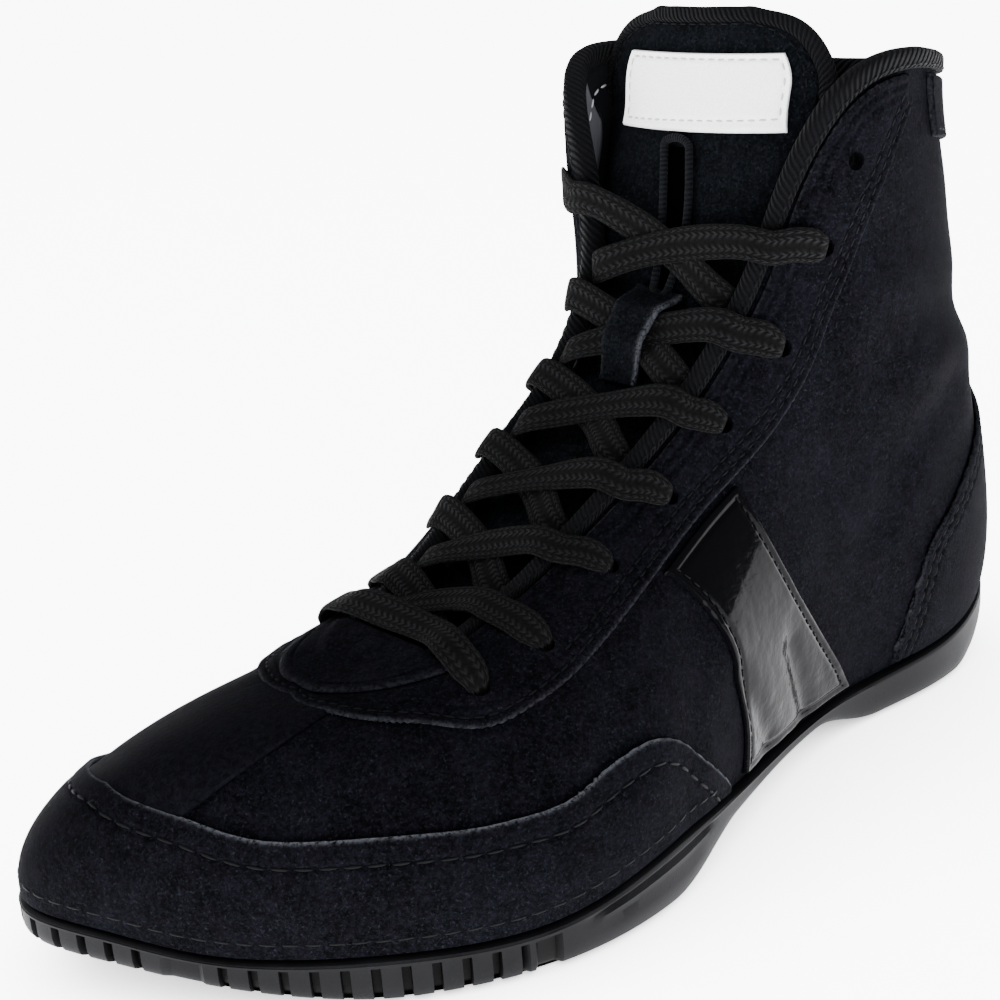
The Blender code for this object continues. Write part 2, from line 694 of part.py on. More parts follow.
def make_back_stay():
    middle = ROUND / 2
    sides = steps(middle - STAY_HALF_STATION, middle + STAY_HALF_STATION)
    low = [(station, STAY_RISE[0]) for station in sides]
    high = [(station, STAY_RISE[1]) for station in reversed(sides)]
    return add_piece("back_stay", overlay(low + high, CLEARANCE, CLEARANCE + BACK_STAY_THICKNESS), SUEDE)


def make_collar_cuff():
    sides = steps(CUFF_END, ROUND - CUFF_END)
    low = [(station, CUFF_FOOT) for station in sides]
    high = [(station, binding_clear_rise(station)) for station in reversed(sides)]
    return add_piece("collar_cuff", overlay(low + high, CLEARANCE, CLEARANCE + SUEDE_OVERLAY), SUEDE)


def make_saddle(name, mirror):
    """Plain patent leather band from the eyestay down to the sole at the waist."""
    count = 8
    front = []
    back = []
    for i in range(count + 1):
        share = i / count
        bow = 0.2 * math.sin(math.pi * share)
        front_station = SADDLE_LOW[0] + (SADDLE_HIGH[0] - SADDLE_LOW[0]) * share + bow
        back_station = SADDLE_LOW[1] + (SADDLE_HIGH[1] - SADDLE_LOW[1]) * share - bow
        for side, station in ((front, front_station), (back, back_station)):
            limit = edge_rise(EYESTAY_EDGE, station) - SADDLE_GAP
            side.append((station, OVERLAY_FOOT + (limit - OVERLAY_FOOT) * share))
    outline = front + list(reversed(back))
    if mirror:
        outline = [(ROUND - station, rise) for station, rise in reversed(outline)]
    body = overlay(outline, CLEARANCE + 0.1, CLEARANCE + 0.1 + PATENT_OVERLAY)
    return add_piece(name, body, PATENT)


def make_binding():
    """Folded tape over the whole top line: two legs on the wall and a rounded back."""
    leg_out = BINDING_GAP + BINDING_WALL
    leg_in = BINDING_GAP
    rings = []
    for i in range(COLUMNS):
        station = i / COLUMNS_PER_STATION
        along, upward = wall_slopes(station, 1.0)
        normal = unit(np.cross(along, upward))
        outward = unit(np.cross(normal, along))
        if np.dot(outward, upward) < 0:
            outward = -outward
        top = wall_point(station, 1.0)
        ring = [
            near_edge(station, BINDING_DEPTH, leg_in),
            near_edge(station, BINDING_DEPTH, leg_out),
            top + normal * leg_out + outward * CLEARANCE,
            top + normal * (leg_out - BINDING_WALL) + outward * (CLEARANCE + BINDING_WALL),
            top - normal * (WALL + leg_out - BINDING_WALL) + outward * (CLEARANCE + BINDING_WALL),
            top - normal * (WALL + leg_out) + outward * CLEARANCE,
            near_edge(station, BINDING_DEPTH, -WALL - leg_out),
            near_edge(station, BINDING_DEPTH, -WALL - leg_in),
            top - normal * (WALL + leg_in) + outward * CLEARANCE,
            top + normal * leg_in + outward * CLEARANCE,
        ]
        rings.append(ring)
    return add_piece("collar_binding", tidy(loft(rings, closed_across=True)), TAPE)


# Tongue: a padded leaf under the throat that stands above the collar
def tongue_controls():
    rows = []
    for station in TONGUE_STATIONS:
        points = []
        for side in (station, ROUND - station):
            tuck = near_edge(side, TONGUE_TUCK, -TONGUE_DEPTH)
            edge = near_edge(side, 0.0, -TONGUE_DEPTH)
            points.append((tuck, edge))
        middle = (points[0][1] + points[1][1]) / 2
        normal = unit(wall_normal(station, 1.0) + wall_normal(ROUND - station, 1.0))
        middle = middle + normal * TONGUE_CROWN
        rows.append([points[0][0], points[0][1], middle, points[1][1], points[1][0]])
    for row in TONGUE_TOP_ROWS:
        centre = np.array([row.along * LAST_LENGTH, row.side * TONGUE_HALF_WIDTH,
                           row.height * TONGUE_HEIGHT])
        half = row.half_width * TONGUE_HALF_WIDTH
        back = row.setback * TONGUE_HALF_WIDTH
        ring = []
        for reach, behind in ((1.0, 1.0), (0.6, 0.3), (0.0, 0.0), (-0.6, 0.3), (-1.0, 1.0)):
            ring.append(centre + np.array([-back * behind, half * reach, 0.0]))
        rows.append(ring)
    return np.array(rows)


TONGUE = tongue_controls()


def tongue_point(run, across):
    """Run goes from 0 at the throat to 1 at the top edge, across from 1 lateral to -1 medial."""
    lines = [open_curve(TONGUE[:, column], run) for column in range(5)]
    return open_curve(lines, (1.0 - across) / 2)


def on_tongue(run, across, lift=0.0):
    step = 0.01
    ahead = tongue_point(min(run + step, 1.0), across) - tongue_point(max(run - step, 0.0), across)
    left = tongue_point(run, min(across + step, 1.0)) - tongue_point(run, max(across - step, -1.0))
    normal = unit(np.cross(left, ahead))
    return tongue_point(run, across) + normal * lift


def tongue_normal(run, across):
    return unit(on_tongue(run, across, 1.0) - on_tongue(run, across, 0.0))


def make_tongue():
    runs = [i / 20 for i in range(21)]
    across = [1.0 - 2 * i / 8 for i in range(9)]
    return add_piece("tongue", sheet_of(on_tongue, runs, across, 0.0, -TONGUE_THICKNESS), SUEDE)


def tongue_run_at(height, across=0.0):
    """Run of the tongue's surface at a height above the floor."""
    low, high = 0.0, 1.0
    for _ in range(30):
        middle = (low + high) / 2
        if tongue_point(middle, across)[2] < height:
            low = middle
        else:
            high = middle
    return low


LABEL_TOP = TONGUE_HEIGHT - LABEL_TO_TOP
LABEL_FOOT = LABEL_TOP - LABEL_HEIGHT
POCKET_TOP = LABEL_FOOT - POCKET_TO_LABEL


def make_label():
    low = tongue_run_at(LABEL_FOOT)
    high = tongue_run_at(LABEL_TOP)
    reach = LABEL_WIDTH / 2 / TONGUE_HALF_WIDTH
    runs = [low + (high - low) * i / 4 for i in range(5)]
    across = [reach - 2 * reach * i / 8 for i in range(9)]
    body = sheet_of(on_tongue, runs, across, LABEL_GAP + LABEL_THICKNESS, LABEL_GAP)
    return add_piece("tongue_label", body, LABEL)


def make_tongue_binding():
    """Tape round the free top of the tongue."""
    start = tongue_run_at(TAPE_START * TONGUE_HEIGHT, 1.0)
    end = 0.99
    side_count = 7
    top_count = 8
    places = [(start + (end - start) * i / side_count, 1.0) for i in range(side_count + 1)]
    places += [(1.0, 1.0 - 2 * i / top_count) for i in range(top_count + 1)]
    places += [(end - (end - start) * i / side_count, -1.0) for i in range(side_count + 1)]
    edge = [on_tongue(run, across, -TONGUE_THICKNESS / 2) for run, across in places]
    normals = [tongue_normal(run, across) for run, across in places]
    centre = on_tongue(start, 0.0)
    points = []
    for i, here in enumerate(edge):
        ahead = edge[min(i + 1, len(edge) - 1)] - edge[max(i - 1, 0)]
        outward = unit(np.cross(ahead, normals[i]))
        if np.dot(outward, here - centre) < 0:
            outward = -outward
        points.append(here + outward * (TAPE_WIDTH / 2 + TAPE_GAP))
    body = rod(points, path_frames(points, normals), TAPE_WIDTH, TAPE_THICKNESS, 8)
    return add_piece("tongue_binding", body, TAPE)


def make_pocket_welt():
    """Raised welt round the slit of the lace pocket."""
    high = tongue_run_at(POCKET_TOP)
    low = tongue_run_at(POCKET_TOP - POCKET_LENGTH)
    half = POCKET_WIDTH / 2 / TONGUE_HALF_WIDTH
    places = []
    for i in range(7):
        places.append((low + (high - low) * i / 6, half))
    for i in range(1, 4):
        angle = math.pi * i / 4
        places.append((high + 0.012 * math.sin(angle), half * math.cos(angle)))
    for i in range(7):
        places.append((high - (high - low) * i / 6, -half))
    for i in range(1, 4):
        angle = math.pi * i / 4
        places.append((low - 0.012 * math.sin(angle), -half * math.cos(angle)))
    rings = []
    count = len(places)
    lift = CLEARANCE + 0.1 + WELT_DIAMETER / 2
    points = [on_tongue(run, across, lift) for run, across in places]
    for i, (run, across) in enumerate(places):
        ahead = unit(points[(i + 1) % count] - points[i - 1])
        normal = tongue_normal(run, across)
        sideways = unit(np.cross(normal, ahead))
        ring = []
        for k in range(6):
            angle = 2 * math.pi * k / 6
            ring.append(points[i] + (sideways * math.cos(angle) + normal * math.sin(angle))
                        * WELT_DIAMETER / 2)
        rings.append(ring)
    return add_piece("tongue_pocket_welt", tidy(loft(rings, closed_across=True)), SUEDE)


# Laces: a flat bar at the first row and a joined crossing at each row above it
def on_flap(station, rise, lift):
    return on_wall(station, rise, lift), wall_normal(station, rise)


def edge_station(row, side):
    return row.edge if side > 0 else ROUND - row.edge


def between(low_row, high_row, share, side):
    first = edge_station(low_row, side)
    return first + (edge_station(high_row, side) - first) * share


def from_eyelet(row, side, station):
    """Controls from an eyelet over the flap and over the binding at a station of the edge."""
    eyelet = row.lateral if side > 0 else row.medial
    flap_lift = CLEARANCE + SUEDE_OVERLAY + LACE_GAP + LACE_THICKNESS / 2
    edge_lift = BINDING_GAP + BINDING_WALL + LACE_GAP + LACE_THICKNESS / 2
    middle = on_flap((eyelet + station) / 2, (row.rise + 1.0) / 2, flap_lift + 0.3)
    where, rise = edge_place(station, BINDING_DEPTH)
    inside = near_edge(station, -LACE_OVERHANG, edge_lift)
    return [on_flap(eyelet, row.rise, flap_lift), middle, on_flap(where, rise, edge_lift),
            (inside, wall_normal(station, 1.0))]


def strand(controls, shift=0.0):
    """Flat cord along control points, each with the normal that it lies flat to."""
    points = np.array([point for point, normal in controls])
    normals = np.array([normal for point, normal in controls])
    path = []
    facing = []
    for i in range(LACE_SAMPLES):
        share = i / (LACE_SAMPLES - 1)
        normal = unit(open_curve(normals, share))
        path.append(open_curve(points, share) + normal * shift)
        facing.append(normal)
    return rod(path, path_frames(path, facing), LACE_WIDTH, LACE_THICKNESS, 4)


def make_lace_rows():
    first = EYELET_ROWS[0]
    bar = from_eyelet(first, 1, first.edge) + from_eyelet(first, -1, ROUND - first.edge)[::-1]
    add_piece("lace_bar_1", strand(bar, LACE_BAR_LIFT), LACE)
    for number in range(2, LACED_ROWS + 1):
        low = EYELET_ROWS[number - 2]
        high = EYELET_ROWS[number - 1]
        left = between(low, high, 0.5, 1)
        right = between(low, high, 0.5, -1)
        upward = unit(wall_normal(left, 1.0) + wall_normal(right, 1.0))
        middle = (wall_point(left, 1.0) + wall_point(right, 1.0)) / 2 + upward * LACE_CROWN
        halves = []
        for side in (1, -1):
            station = between(low, high, LACE_TAIL, -side)
            tail = near_edge(station, -LACE_TAIL_GAP, -LACE_TAIL_DROP)
            halves.append(strand(from_eyelet(high, side, between(low, high, LACE_EDGE, side))
                                 + [(middle, upward), (tail, unit(upward + wall_normal(station, 1.0)))],
                                 LACE_STACK * side))
        joined = combined(halves[0], halves[1], "UNION")
        bmesh.ops.remove_doubles(joined, verts=joined.verts, dist=LACE_MERGE)
        add_piece("lace_cross_" + str(number), tidy(joined), LACE)


def make_keeper():
    """Suede tab on the tongue that the sixth crossing passes under."""
    bottom = tongue_run_at(wall_point(between(EYELET_ROWS[3], EYELET_ROWS[4], 0.9, 1), 1.0)[2])
    top = tongue_run_at(wall_point(between(EYELET_ROWS[5], EYELET_ROWS[6], 0.1, 1), 1.0)[2])
    reach = KEEPER_WIDTH / 2 / TONGUE_HALF_WIDTH

    def arch(run, across, lift):
        share = (run - bottom) / (top - bottom)
        hump = KEEPER_RISE * smooth(share / 0.25) * smooth((1.0 - share) / 0.25)
        return on_tongue(run, across, CLEARANCE + 0.1 + hump + lift)

    runs = [bottom + (top - bottom) * i / 12 for i in range(13)]
    across = [reach, 0.0, -reach]
    return add_piece("lace_keeper", sheet_of(arch, runs, across, KEEPER_THICKNESS, 0.0), SUEDE)


make_outsole()
make_insole()
make_upper()
make_tongue()
make_toe_guard()
make_vamp_strip()
make_eyestay()
make_heel_counter()
make_back_stay()
make_collar_cuff()
make_saddle("saddle_lateral", False)
make_saddle("saddle_medial", True)
make_binding()
make_label()
make_tongue_binding()
make_pocket_welt()
make_lace_rows()
make_keeper()

# The origin goes to the middle of the footprint, on the floor
corners = np.array([vert.co for piece in bpy.data.objects for vert in piece.data.vertices])
middle = (corners.min(axis=0) + corners.max(axis=0)) / 2
for piece in bpy.data.objects:
    for vert in piece.data.vertices:
        vert.co.x -= middle[0]
        vert.co.y -= middle[1]
        vert.co.z -= corners[:, 2].min()
    piece.data.shade_smooth()
    piece.data.set_sharp_from_angle(angle=math.radians(40.0))
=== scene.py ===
# High-top wrestling shoe for the left foot, laced, empty and standing on its sole.
# +X points to the toe, +Y to the outer side and +Z up. Lengths are millimetres until a mesh is made.

import math
from collections import namedtuple

import bmesh
import bpy
import numpy as np
from mathutils import Matrix, Vector


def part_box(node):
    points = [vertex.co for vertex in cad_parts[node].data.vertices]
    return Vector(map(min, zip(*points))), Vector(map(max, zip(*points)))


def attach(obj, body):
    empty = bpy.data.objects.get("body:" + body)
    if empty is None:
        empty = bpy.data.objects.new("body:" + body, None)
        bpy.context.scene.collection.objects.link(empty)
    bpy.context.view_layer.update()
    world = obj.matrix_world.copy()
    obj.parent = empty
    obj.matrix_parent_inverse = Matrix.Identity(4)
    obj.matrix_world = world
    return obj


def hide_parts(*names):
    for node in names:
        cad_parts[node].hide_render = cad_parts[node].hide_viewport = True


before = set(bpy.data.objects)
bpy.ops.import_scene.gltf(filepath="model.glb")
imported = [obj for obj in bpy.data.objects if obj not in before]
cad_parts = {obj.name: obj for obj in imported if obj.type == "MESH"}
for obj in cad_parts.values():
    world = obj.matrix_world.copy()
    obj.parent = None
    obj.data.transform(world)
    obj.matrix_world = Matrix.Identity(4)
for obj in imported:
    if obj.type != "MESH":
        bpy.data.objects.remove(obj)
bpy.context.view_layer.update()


# The last. Upper, sole and tongue are all made over this one form: a feather line round the sole,
# a top line round the collar and both edges of the throat, and one wall between them. A place on
# the wall is a station counted round the shoe from the toe, and a rise from feather to top line.
MM = 0.001
LAST_LENGTH = 264.0
BALL_WIDTH = 104.0
COLLAR_HEIGHT = 160.0
LIP_HEIGHT = 20.0
WALL = 2.0
CAD_COLUMNS_PER_STATION = 2
CAD_ROWS = 10
Station = namedtuple("Station", "along side lift low_out low_up high_out high_down "
                                "top_along top_side top_height")
STATIONS = (
    Station(1.000, -0.231, 0.900, 0.029, 0.138, 0.365, -0.019, 0.746, -0.019, 0.312),
    Station(0.973, -0.058, 0.800, 0.038, 0.144, 0.337, -0.019, 0.742, 0.038, 0.319),
    Station(0.920, 0.135, 0.600, 0.048, 0.144, 0.308, -0.006, 0.720, 0.087, 0.331),
    Station(0.822, 0.346, 0.500, 0.058, 0.144, 0.269, 0.019, 0.678, 0.115, 0.356),
    Station(0.716, 0.471, 0.500, 0.048, 0.150, 0.231, 0.037, 0.621, 0.135, 0.400),
    Station(0.606, 0.481, 0.700, 0.038, 0.144, 0.192, 0.056, 0.557, 0.144, 0.456),
    Station(0.500, 0.404, 0.600, 0.048, 0.175, 0.173, 0.087, 0.485, 0.154, 0.525),
    Station(0.394, 0.317, 0.500, 0.058, 0.212, 0.154, 0.138, 0.417, 0.173, 0.613),
    Station(0.288, 0.269, 0.500, 0.067, 0.225, 0.125, 0.200, 0.364, 0.212, 0.738),
    Station(0.197, 0.279, 0.550, 0.077, 0.225, 0.067, 0.263, 0.333, 0.269, 0.881),
    Station(0.110, 0.269, 0.650, 0.077, 0.194, 0.010, 0.312, 0.268, 0.352, 0.994),
    Station(0.027, 0.173, 0.900, 0.077, 0.156, -0.038, 0.338, 0.133, 0.308, 0.978),
    Station(-0.004, -0.029, 1.000, 0.048, 0.200, -0.144, 0.312, 0.057, -0.019, 0.944),
    Station(0.030, -0.240, 0.900, 0.077, 0.156, -0.029, 0.338, 0.127, -0.346, 0.972),
    Station(0.114, -0.327, 0.650, 0.077, 0.194, 0.019, 0.312, 0.284, -0.399, 1.016),
    Station(0.201, -0.327, 0.550, 0.077, 0.225, 0.077, 0.263, 0.356, -0.317, 0.950),
    Station(0.295, -0.298, 0.500, 0.067, 0.225, 0.125, 0.200, 0.375, -0.231, 0.775),
    Station(0.402, -0.279, 0.550, 0.077, 0.237, 0.154, 0.138, 0.424, -0.202, 0.625),
    Station(0.508, -0.317, 0.600, 0.087, 0.200, 0.154, 0.087, 0.489, -0.192, 0.537),
    Station(0.614, -0.404, 0.600, 0.067, 0.150, 0.154, 0.069, 0.557, -0.183, 0.463),
    Station(0.720, -0.481, 0.550, 0.048, 0.125, 0.163, 0.075, 0.617, -0.163, 0.400),
    Station(0.822, -0.500, 0.550, 0.038, 0.106, 0.173, 0.050, 0.674, -0.154, 0.356),
    Station(0.917, -0.452, 0.700, 0.038, 0.100, 0.212, 0.025, 0.716, -0.125, 0.331),
    Station(0.973, -0.365, 0.850, 0.029, 0.113, 0.288, 0.000, 0.739, -0.077, 0.319),
)
ROUND = len(STATIONS)


def unit(vectors):
    return vectors / np.linalg.norm(vectors, axis=-1, keepdims=True)


def dot(first, second):
    return (first * second).sum(axis=-1)


def loop_slopes(points):
    """Slopes of the smooth closed curve through a loop of points."""
    count = len(points)
    system = 4.0 * np.eye(count) + np.roll(np.eye(count), 1, 0) + np.roll(np.eye(count), -1, 0)
    return np.linalg.solve(system, 3.0 * (np.roll(points, -1, 0) - np.roll(points, 1, 0)))


def hermite(start, end, start_slope, end_slope, share):
    square = share * share
    cube = square * share
    return ((2 * cube - 3 * square + 1) * start + (cube - 2 * square + share) * start_slope
            + (3 * square - 2 * cube) * end + (cube - square) * end_slope)


def along_loop(loop, station):
    points, slopes = loop
    first = np.floor(station).astype(int)
    a = first % len(points)
    b = (first + 1) % len(points)
    return hermite(points[a], points[b], slopes[a], slopes[b], (station - first)[:, None])


def last_loops():
    """Feather line, low pull, high pull and top line, each with its slopes."""
    table = np.array(STATIONS)
    feather = table[:, 0:3] * (LAST_LENGTH, BALL_WIDTH, LIP_HEIGHT)
    top = table[:, 7:10] * (LAST_LENGTH, BALL_WIDTH, COLLAR_HEIGHT)
    run = loop_slopes(feather)
    outward = unit(np.stack([-run[:, 1], run[:, 0], np.zeros(ROUND)], axis=1))
    if outward[0, 0] < 0:
        outward = -outward
    up = np.array([0.0, 0.0, 1.0])
    low = feather + outward * table[:, 3:4] * BALL_WIDTH + up * table[:, 4:5] * COLLAR_HEIGHT
    high = top + outward * table[:, 5:6] * BALL_WIDTH - up * table[:, 6:7] * COLLAR_HEIGHT
    return [(loop, loop_slopes(loop)) for loop in (feather, low, high, top)]


LOOPS = last_loops()


def places(*values):
    """Several numbers or arrays as flat arrays of one length."""
    return [np.array(value, float).ravel() for value in np.broadcast_arrays(*values)]


def wall(station, rise):
    station, rise = places(station, rise)
    feather, low, high, top = [along_loop(loop, station) for loop in LOOPS]
    rise = rise[:, None]
    rest = 1.0 - rise
    return (rest ** 3 * feather + 3 * rise * rest ** 2 * low
            + 3 * rise ** 2 * rest * high + rise ** 3 * top)


def wall_slopes(station, rise, step=0.002):
    station, rise = places(station, rise)
    inner = np.clip(rise, step, 1.0 - step)
    along = (wall(station + step, rise) - wall(station - step, rise)) / (2 * step)
    upward = (wall(station, inner + step) - wall(station, inner - step)) / (2 * step)
    return along, upward


def wall_normal(station, rise):
    along, upward = wall_slopes(station, rise)
    return unit(np.cross(along, upward))


# The frame's upper was sampled from the same wall, so its corner says where the last stands.
stations, rises = np.meshgrid(np.arange(ROUND * CAD_COLUMNS_PER_STATION) / CAD_COLUMNS_PER_STATION,
                              np.arange(CAD_ROWS + 1) / CAD_ROWS)
lowest = wall(stations, rises).min(axis=0)
corner = np.array(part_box("upper")[0]) / MM
STAND = np.array([corner[0] - lowest[0], corner[1] - lowest[1], 0.0])


# Moulded rubber outsole, one shell with a low lip all round: toe spring, arch and rolled heel,
# upright slots round the toe, two wide windows, ribs on the outer flare and cross grooves below.
TOE_SPRING = 12.5
ARCH_RISE = 6.5
HEEL_ROLL = 11.0
RIM_WIDTH = 2.2
TREAD_BEVEL = 2.0
TREAD_INSET = 4.0
SEAT_DROP = 4.5
SEAT_FLOOR = 2.6
SEAT_INSET = 4.0
CLEARANCE = 0.35
SLOT_PITCH = 5.8
SLOT_WIDTH = 1.9
SLOT_DEPTH = 2.2
SLOT_EDGE = 0.12
GROOVE_WIDTH = 2.4
GROOVE_DEPTH = 1.4
GROOVE_PITCH = 9.0
TOE_START, HEEL_ROLL_END = 0.825, 0.12
HEEL_BREAST, ARCH_BACK, ARCH_FRONT, TREAD_START = 0.24, 0.34, 0.50, 0.61
# Slots run from station to station; windows have station, width and depth; ribs have first and last
# station, share of the sidewall's height and size
SLOT_STATIONS = (-4.6, 3.75)
WINDOWS = ((1.62, 7.0, 0.8), (3.82, 4.5, 1.6))
FLARE_RIBS = ((4.05, 5.65, 0.80, 0.9), (4.15, 5.45, 0.55, 0.8))


def smooth(share):
    share = np.clip(share, 0.0, 1.0)
    return share * share * (3.0 - 2.0 * share)


def tread_height(x):
    along = x / LAST_LENGTH
    toe = TOE_SPRING * smooth((along - TOE_START) / (1.06 - TOE_START))
    roll = HEEL_ROLL * smooth((HEEL_ROLL_END - along) / HEEL_ROLL_END)
    arch = ARCH_RISE * smooth((along - HEEL_BREAST) / (ARCH_BACK - HEEL_BREAST))
    return toe + roll + arch * smooth((TREAD_START - along) / (TREAD_START - ARCH_FRONT))


def feather_out(station, offset):
    """Points beside the feather line, offset outwards in plan."""
    station, offset = places(station, offset)
    feather = along_loop(LOOPS[0], station)
    run = along_loop((LOOPS[0][1], loop_slopes(LOOPS[0][1])), station)
    outward = unit(np.stack([-run[:, 1], run[:, 0], np.zeros(len(run))], axis=1))
    facing = dot(outward, feather - np.array([LAST_LENGTH / 2, 0.0, 0.0]) * (1, 1, 0))
    outward *= np.where(facing < 0, -1.0, 1.0)[:, None]
    return feather + outward * offset[:, None]


def mesh_of(name, shape):
    """Mesh of a bmesh, which is freed."""
    mesh = bpy.data.meshes.new(name)
    shape.to_mesh(mesh)
    shape.free()
    return mesh


def added(name, data):
    """Object of a mesh, lamp or camera, put into the scene."""
    piece = bpy.data.objects.new(name, data)
    bpy.context.scene.collection.objects.link(piece)
    return piece


def bent_grid(name, columns, rows, place, closed=False):
    """Flat grid moved onto the form. place takes two arrays of shares and gives the points and a
    dictionary of marks, one number for each point, which materials read as attributes."""
    shape = bmesh.new()
    shape.loops.layers.uv.new("surface")
    bmesh.ops.create_grid(shape, x_segments=columns, y_segments=rows, size=0.5, calc_uvs=True)
    mesh = mesh_of(name, shape)
    flat = np.empty(len(mesh.vertices) * 3, np.float32)
    mesh.vertices.foreach_get("co", flat)
    share = np.clip(flat.reshape(-1, 3)[:, :2].astype(float) + 0.5, 0.0, 1.0)
    points, marks = place(share[:, 0], share[:, 1])
    mesh.vertices.foreach_set("co", ((points + STAND) * MM).astype(np.float32).ravel())
    for mark, values in marks.items():
        attribute = mesh.attributes.new(mark, "FLOAT", "POINT")
        attribute.data.foreach_set("value", np.asarray(values, np.float32))
    if closed:
        shape = bmesh.new()
        shape.from_mesh(mesh)
        bmesh.ops.remove_doubles(shape, verts=shape.verts, dist=0.001 * MM)
        shape.to_mesh(mesh)
        shape.free()
    mesh.update()
    return mesh


def finished(mesh, material, stands_for=(), sharp=40.0):
    """Object of a mesh, shaded smooth, that rides on the shoe and stands for CAD nodes."""
    mesh.shade_smooth()
    mesh.set_sharp_from_angle(angle=math.radians(sharp))
    piece = added(mesh.name, mesh)
    mesh.materials.clear()
    mesh.materials.append(material)
    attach(piece, "root")
    if stands_for:
        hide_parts(*stands_for)
    return piece


def thickened(piece, thickness):
    """Gives a piece its own thickness, inwards from its face."""
    solidify = piece.modifiers.new("thickness", "SOLIDIFY")
    solidify.thickness = thickness * MM
    solidify.offset = -1.0
    solidify.use_rim = True
    return piece


def linear(hex_colour):
    """Linear colour with alpha from an sRGB hex value."""
    channels = [int(hex_colour[i:i + 2], 16) / 255 for i in (1, 3, 5)]
    return tuple(c / 12.92 if c <= 0.04045 else ((c + 0.055) / 1.055) ** 2.4 for c in channels) + (1.0,)


def add_node(material, kind, settings=None, links=None):
    """Adds a shader node. Settings are its properties, the values of its sockets and a colour ramp's
    stops, with colours as hex values. Links are sockets fed by other nodes."""
    node = material.node_tree.nodes.new("ShaderNode" + kind)
    for name, value in (settings or {}).items():
        if name == "stops":
            for stop, (position, colour) in zip(node.color_ramp.elements, value):
                stop.position = position
                stop.color = linear(colour)
        elif isinstance(name, int) or name in node.inputs:
            node.inputs[name].default_value = linear(value) if isinstance(value, str) else value
        else:
            setattr(node, name, value)
    for name, source in (links or {}).items():
        output = source if isinstance(source, bpy.types.NodeSocket) else source.outputs[0]
        material.node_tree.links.new(output, node.inputs[name])
    return node


def start_material(name, base, roughness, settings=None):
    """Material with its own shader. Settings are values of that shader's other sockets."""
    material = bpy.data.materials.new(name)
    material.use_nodes = True
    sockets = material.node_tree.nodes["Principled BSDF"].inputs
    sockets["Base Color"].default_value = linear(base)
    sockets["Roughness"].default_value = roughness
    for socket, value in (settings or {}).items():
        sockets[socket].default_value = linear(value) if isinstance(value, str) else value
    return material


def feed(material, socket, source):
    """Feeds a socket of the material's own shader from a node or one of its outputs."""
    output = source if isinstance(source, bpy.types.NodeSocket) else source.outputs[0]
    material.node_tree.links.new(output, material.node_tree.nodes["Principled BSDF"].inputs[socket])


# Moulded rubber: matt, with a little dust in its grain, so that the sidewall shows a soft grey. The
# slots, windows and cross grooves are painted near black by their slot mark, a painted shade in these
# recesses.
RUBBER = start_material("moulded_rubber", "#0c0c0d", 0.65, {"Specular IOR Level": 0.05})
spot = add_node(RUBBER, "TexCoord").outputs["Object"]
grain = add_node(RUBBER, "TexNoise", {"Scale": 1 / (0.5 * MM), "Detail": 4.0, "Roughness": 0.6},
                 {"Vector": spot})
dust = add_node(RUBBER, "TexNoise", {"Scale": 1 / (14.0 * MM), "Detail": 5.0, "Roughness": 0.65},
                {"Vector": spot})
dusted = add_node(RUBBER, "ValToRGB", {"stops": ((0.35, "#0a0a0b"), (0.75, "#151517"))}, {"Fac": dust})
grained = add_node(RUBBER, "ValToRGB", {"stops": ((0.55, "#0b0b0c"), (0.8, "#1e1e21"))}, {"Fac": grain})
tone = add_node(RUBBER, "Mix", {"data_type": "RGBA", 0: 0.25}, {6: dusted, 7: grained}).outputs[2]
# The slot mark paints the slots, windows and grooves near black: a painted shade in the recesses.
slot_painted_shade = add_node(RUBBER, "Attribute", {"attribute_name": "slot"}).outputs["Fac"]
tone = add_node(RUBBER, "Mix", {"data_type": "RGBA", 7: "#010101"}, {0: slot_painted_shade, 6: tone}).outputs[2]
feed(RUBBER, "Base Color", tone)
feed(RUBBER, "Roughness", add_node(RUBBER, "MapRange", {"To Min": 0.42, "To Max": 0.68}, {"Value": dust}))
feed(RUBBER, "Normal", add_node(RUBBER, "Bump", {"Distance": 0.05 * MM}, {"Height": grain}))


def path_reach(path):
    """Distance along a path at each of its points."""
    return np.concatenate([[0.0], np.cumsum(np.linalg.norm(np.diff(path, axis=0), axis=1))])


def sole_edges(v, inset):
    """Points on the outer and the inner edge of the sole, inset from the feather line."""
    station = v * ROUND / 2
    return feather_out(station, -inset), feather_out(ROUND - station, -inset)


def on_seat(u, v, inset, lift=0.0):
    """Points across the seat of the outsole, from its inner to its outer edge."""
    outer, inner = sole_edges(v, inset)
    points = inner + (outer - inner) * u[:, None]
    points[:, 2] = np.maximum(points[:, 2] - SEAT_DROP, tread_height(points[:, 0]) + SEAT_FLOOR) + lift
    return points


def slot_columns():
    """Stations of the sidewall's columns: close pairs at both edges of each slot."""
    around = np.linspace(0.0, ROUND, 2401)
    reach = path_reach(along_loop(LOOPS[0], around))
    count = int(round(reach[-1] / SLOT_PITCH))
    pitch = reach[-1] / count
    steps = np.array([0.0, SLOT_EDGE, SLOT_WIDTH - SLOT_EDGE, SLOT_WIDTH, 2.9, 3.9, 4.9])
    distance = (np.arange(count)[:, None] * pitch + steps[None, :] * pitch / SLOT_PITCH).ravel()
    distance = np.concatenate([distance, [reach[-1]]])
    cut = np.tile([0.0, 1.0, 1.0, 0.0, 0.0, 0.0, 0.0], count)
    return np.interp(distance, reach, around), np.concatenate([cut, [0.0]]), reach, around


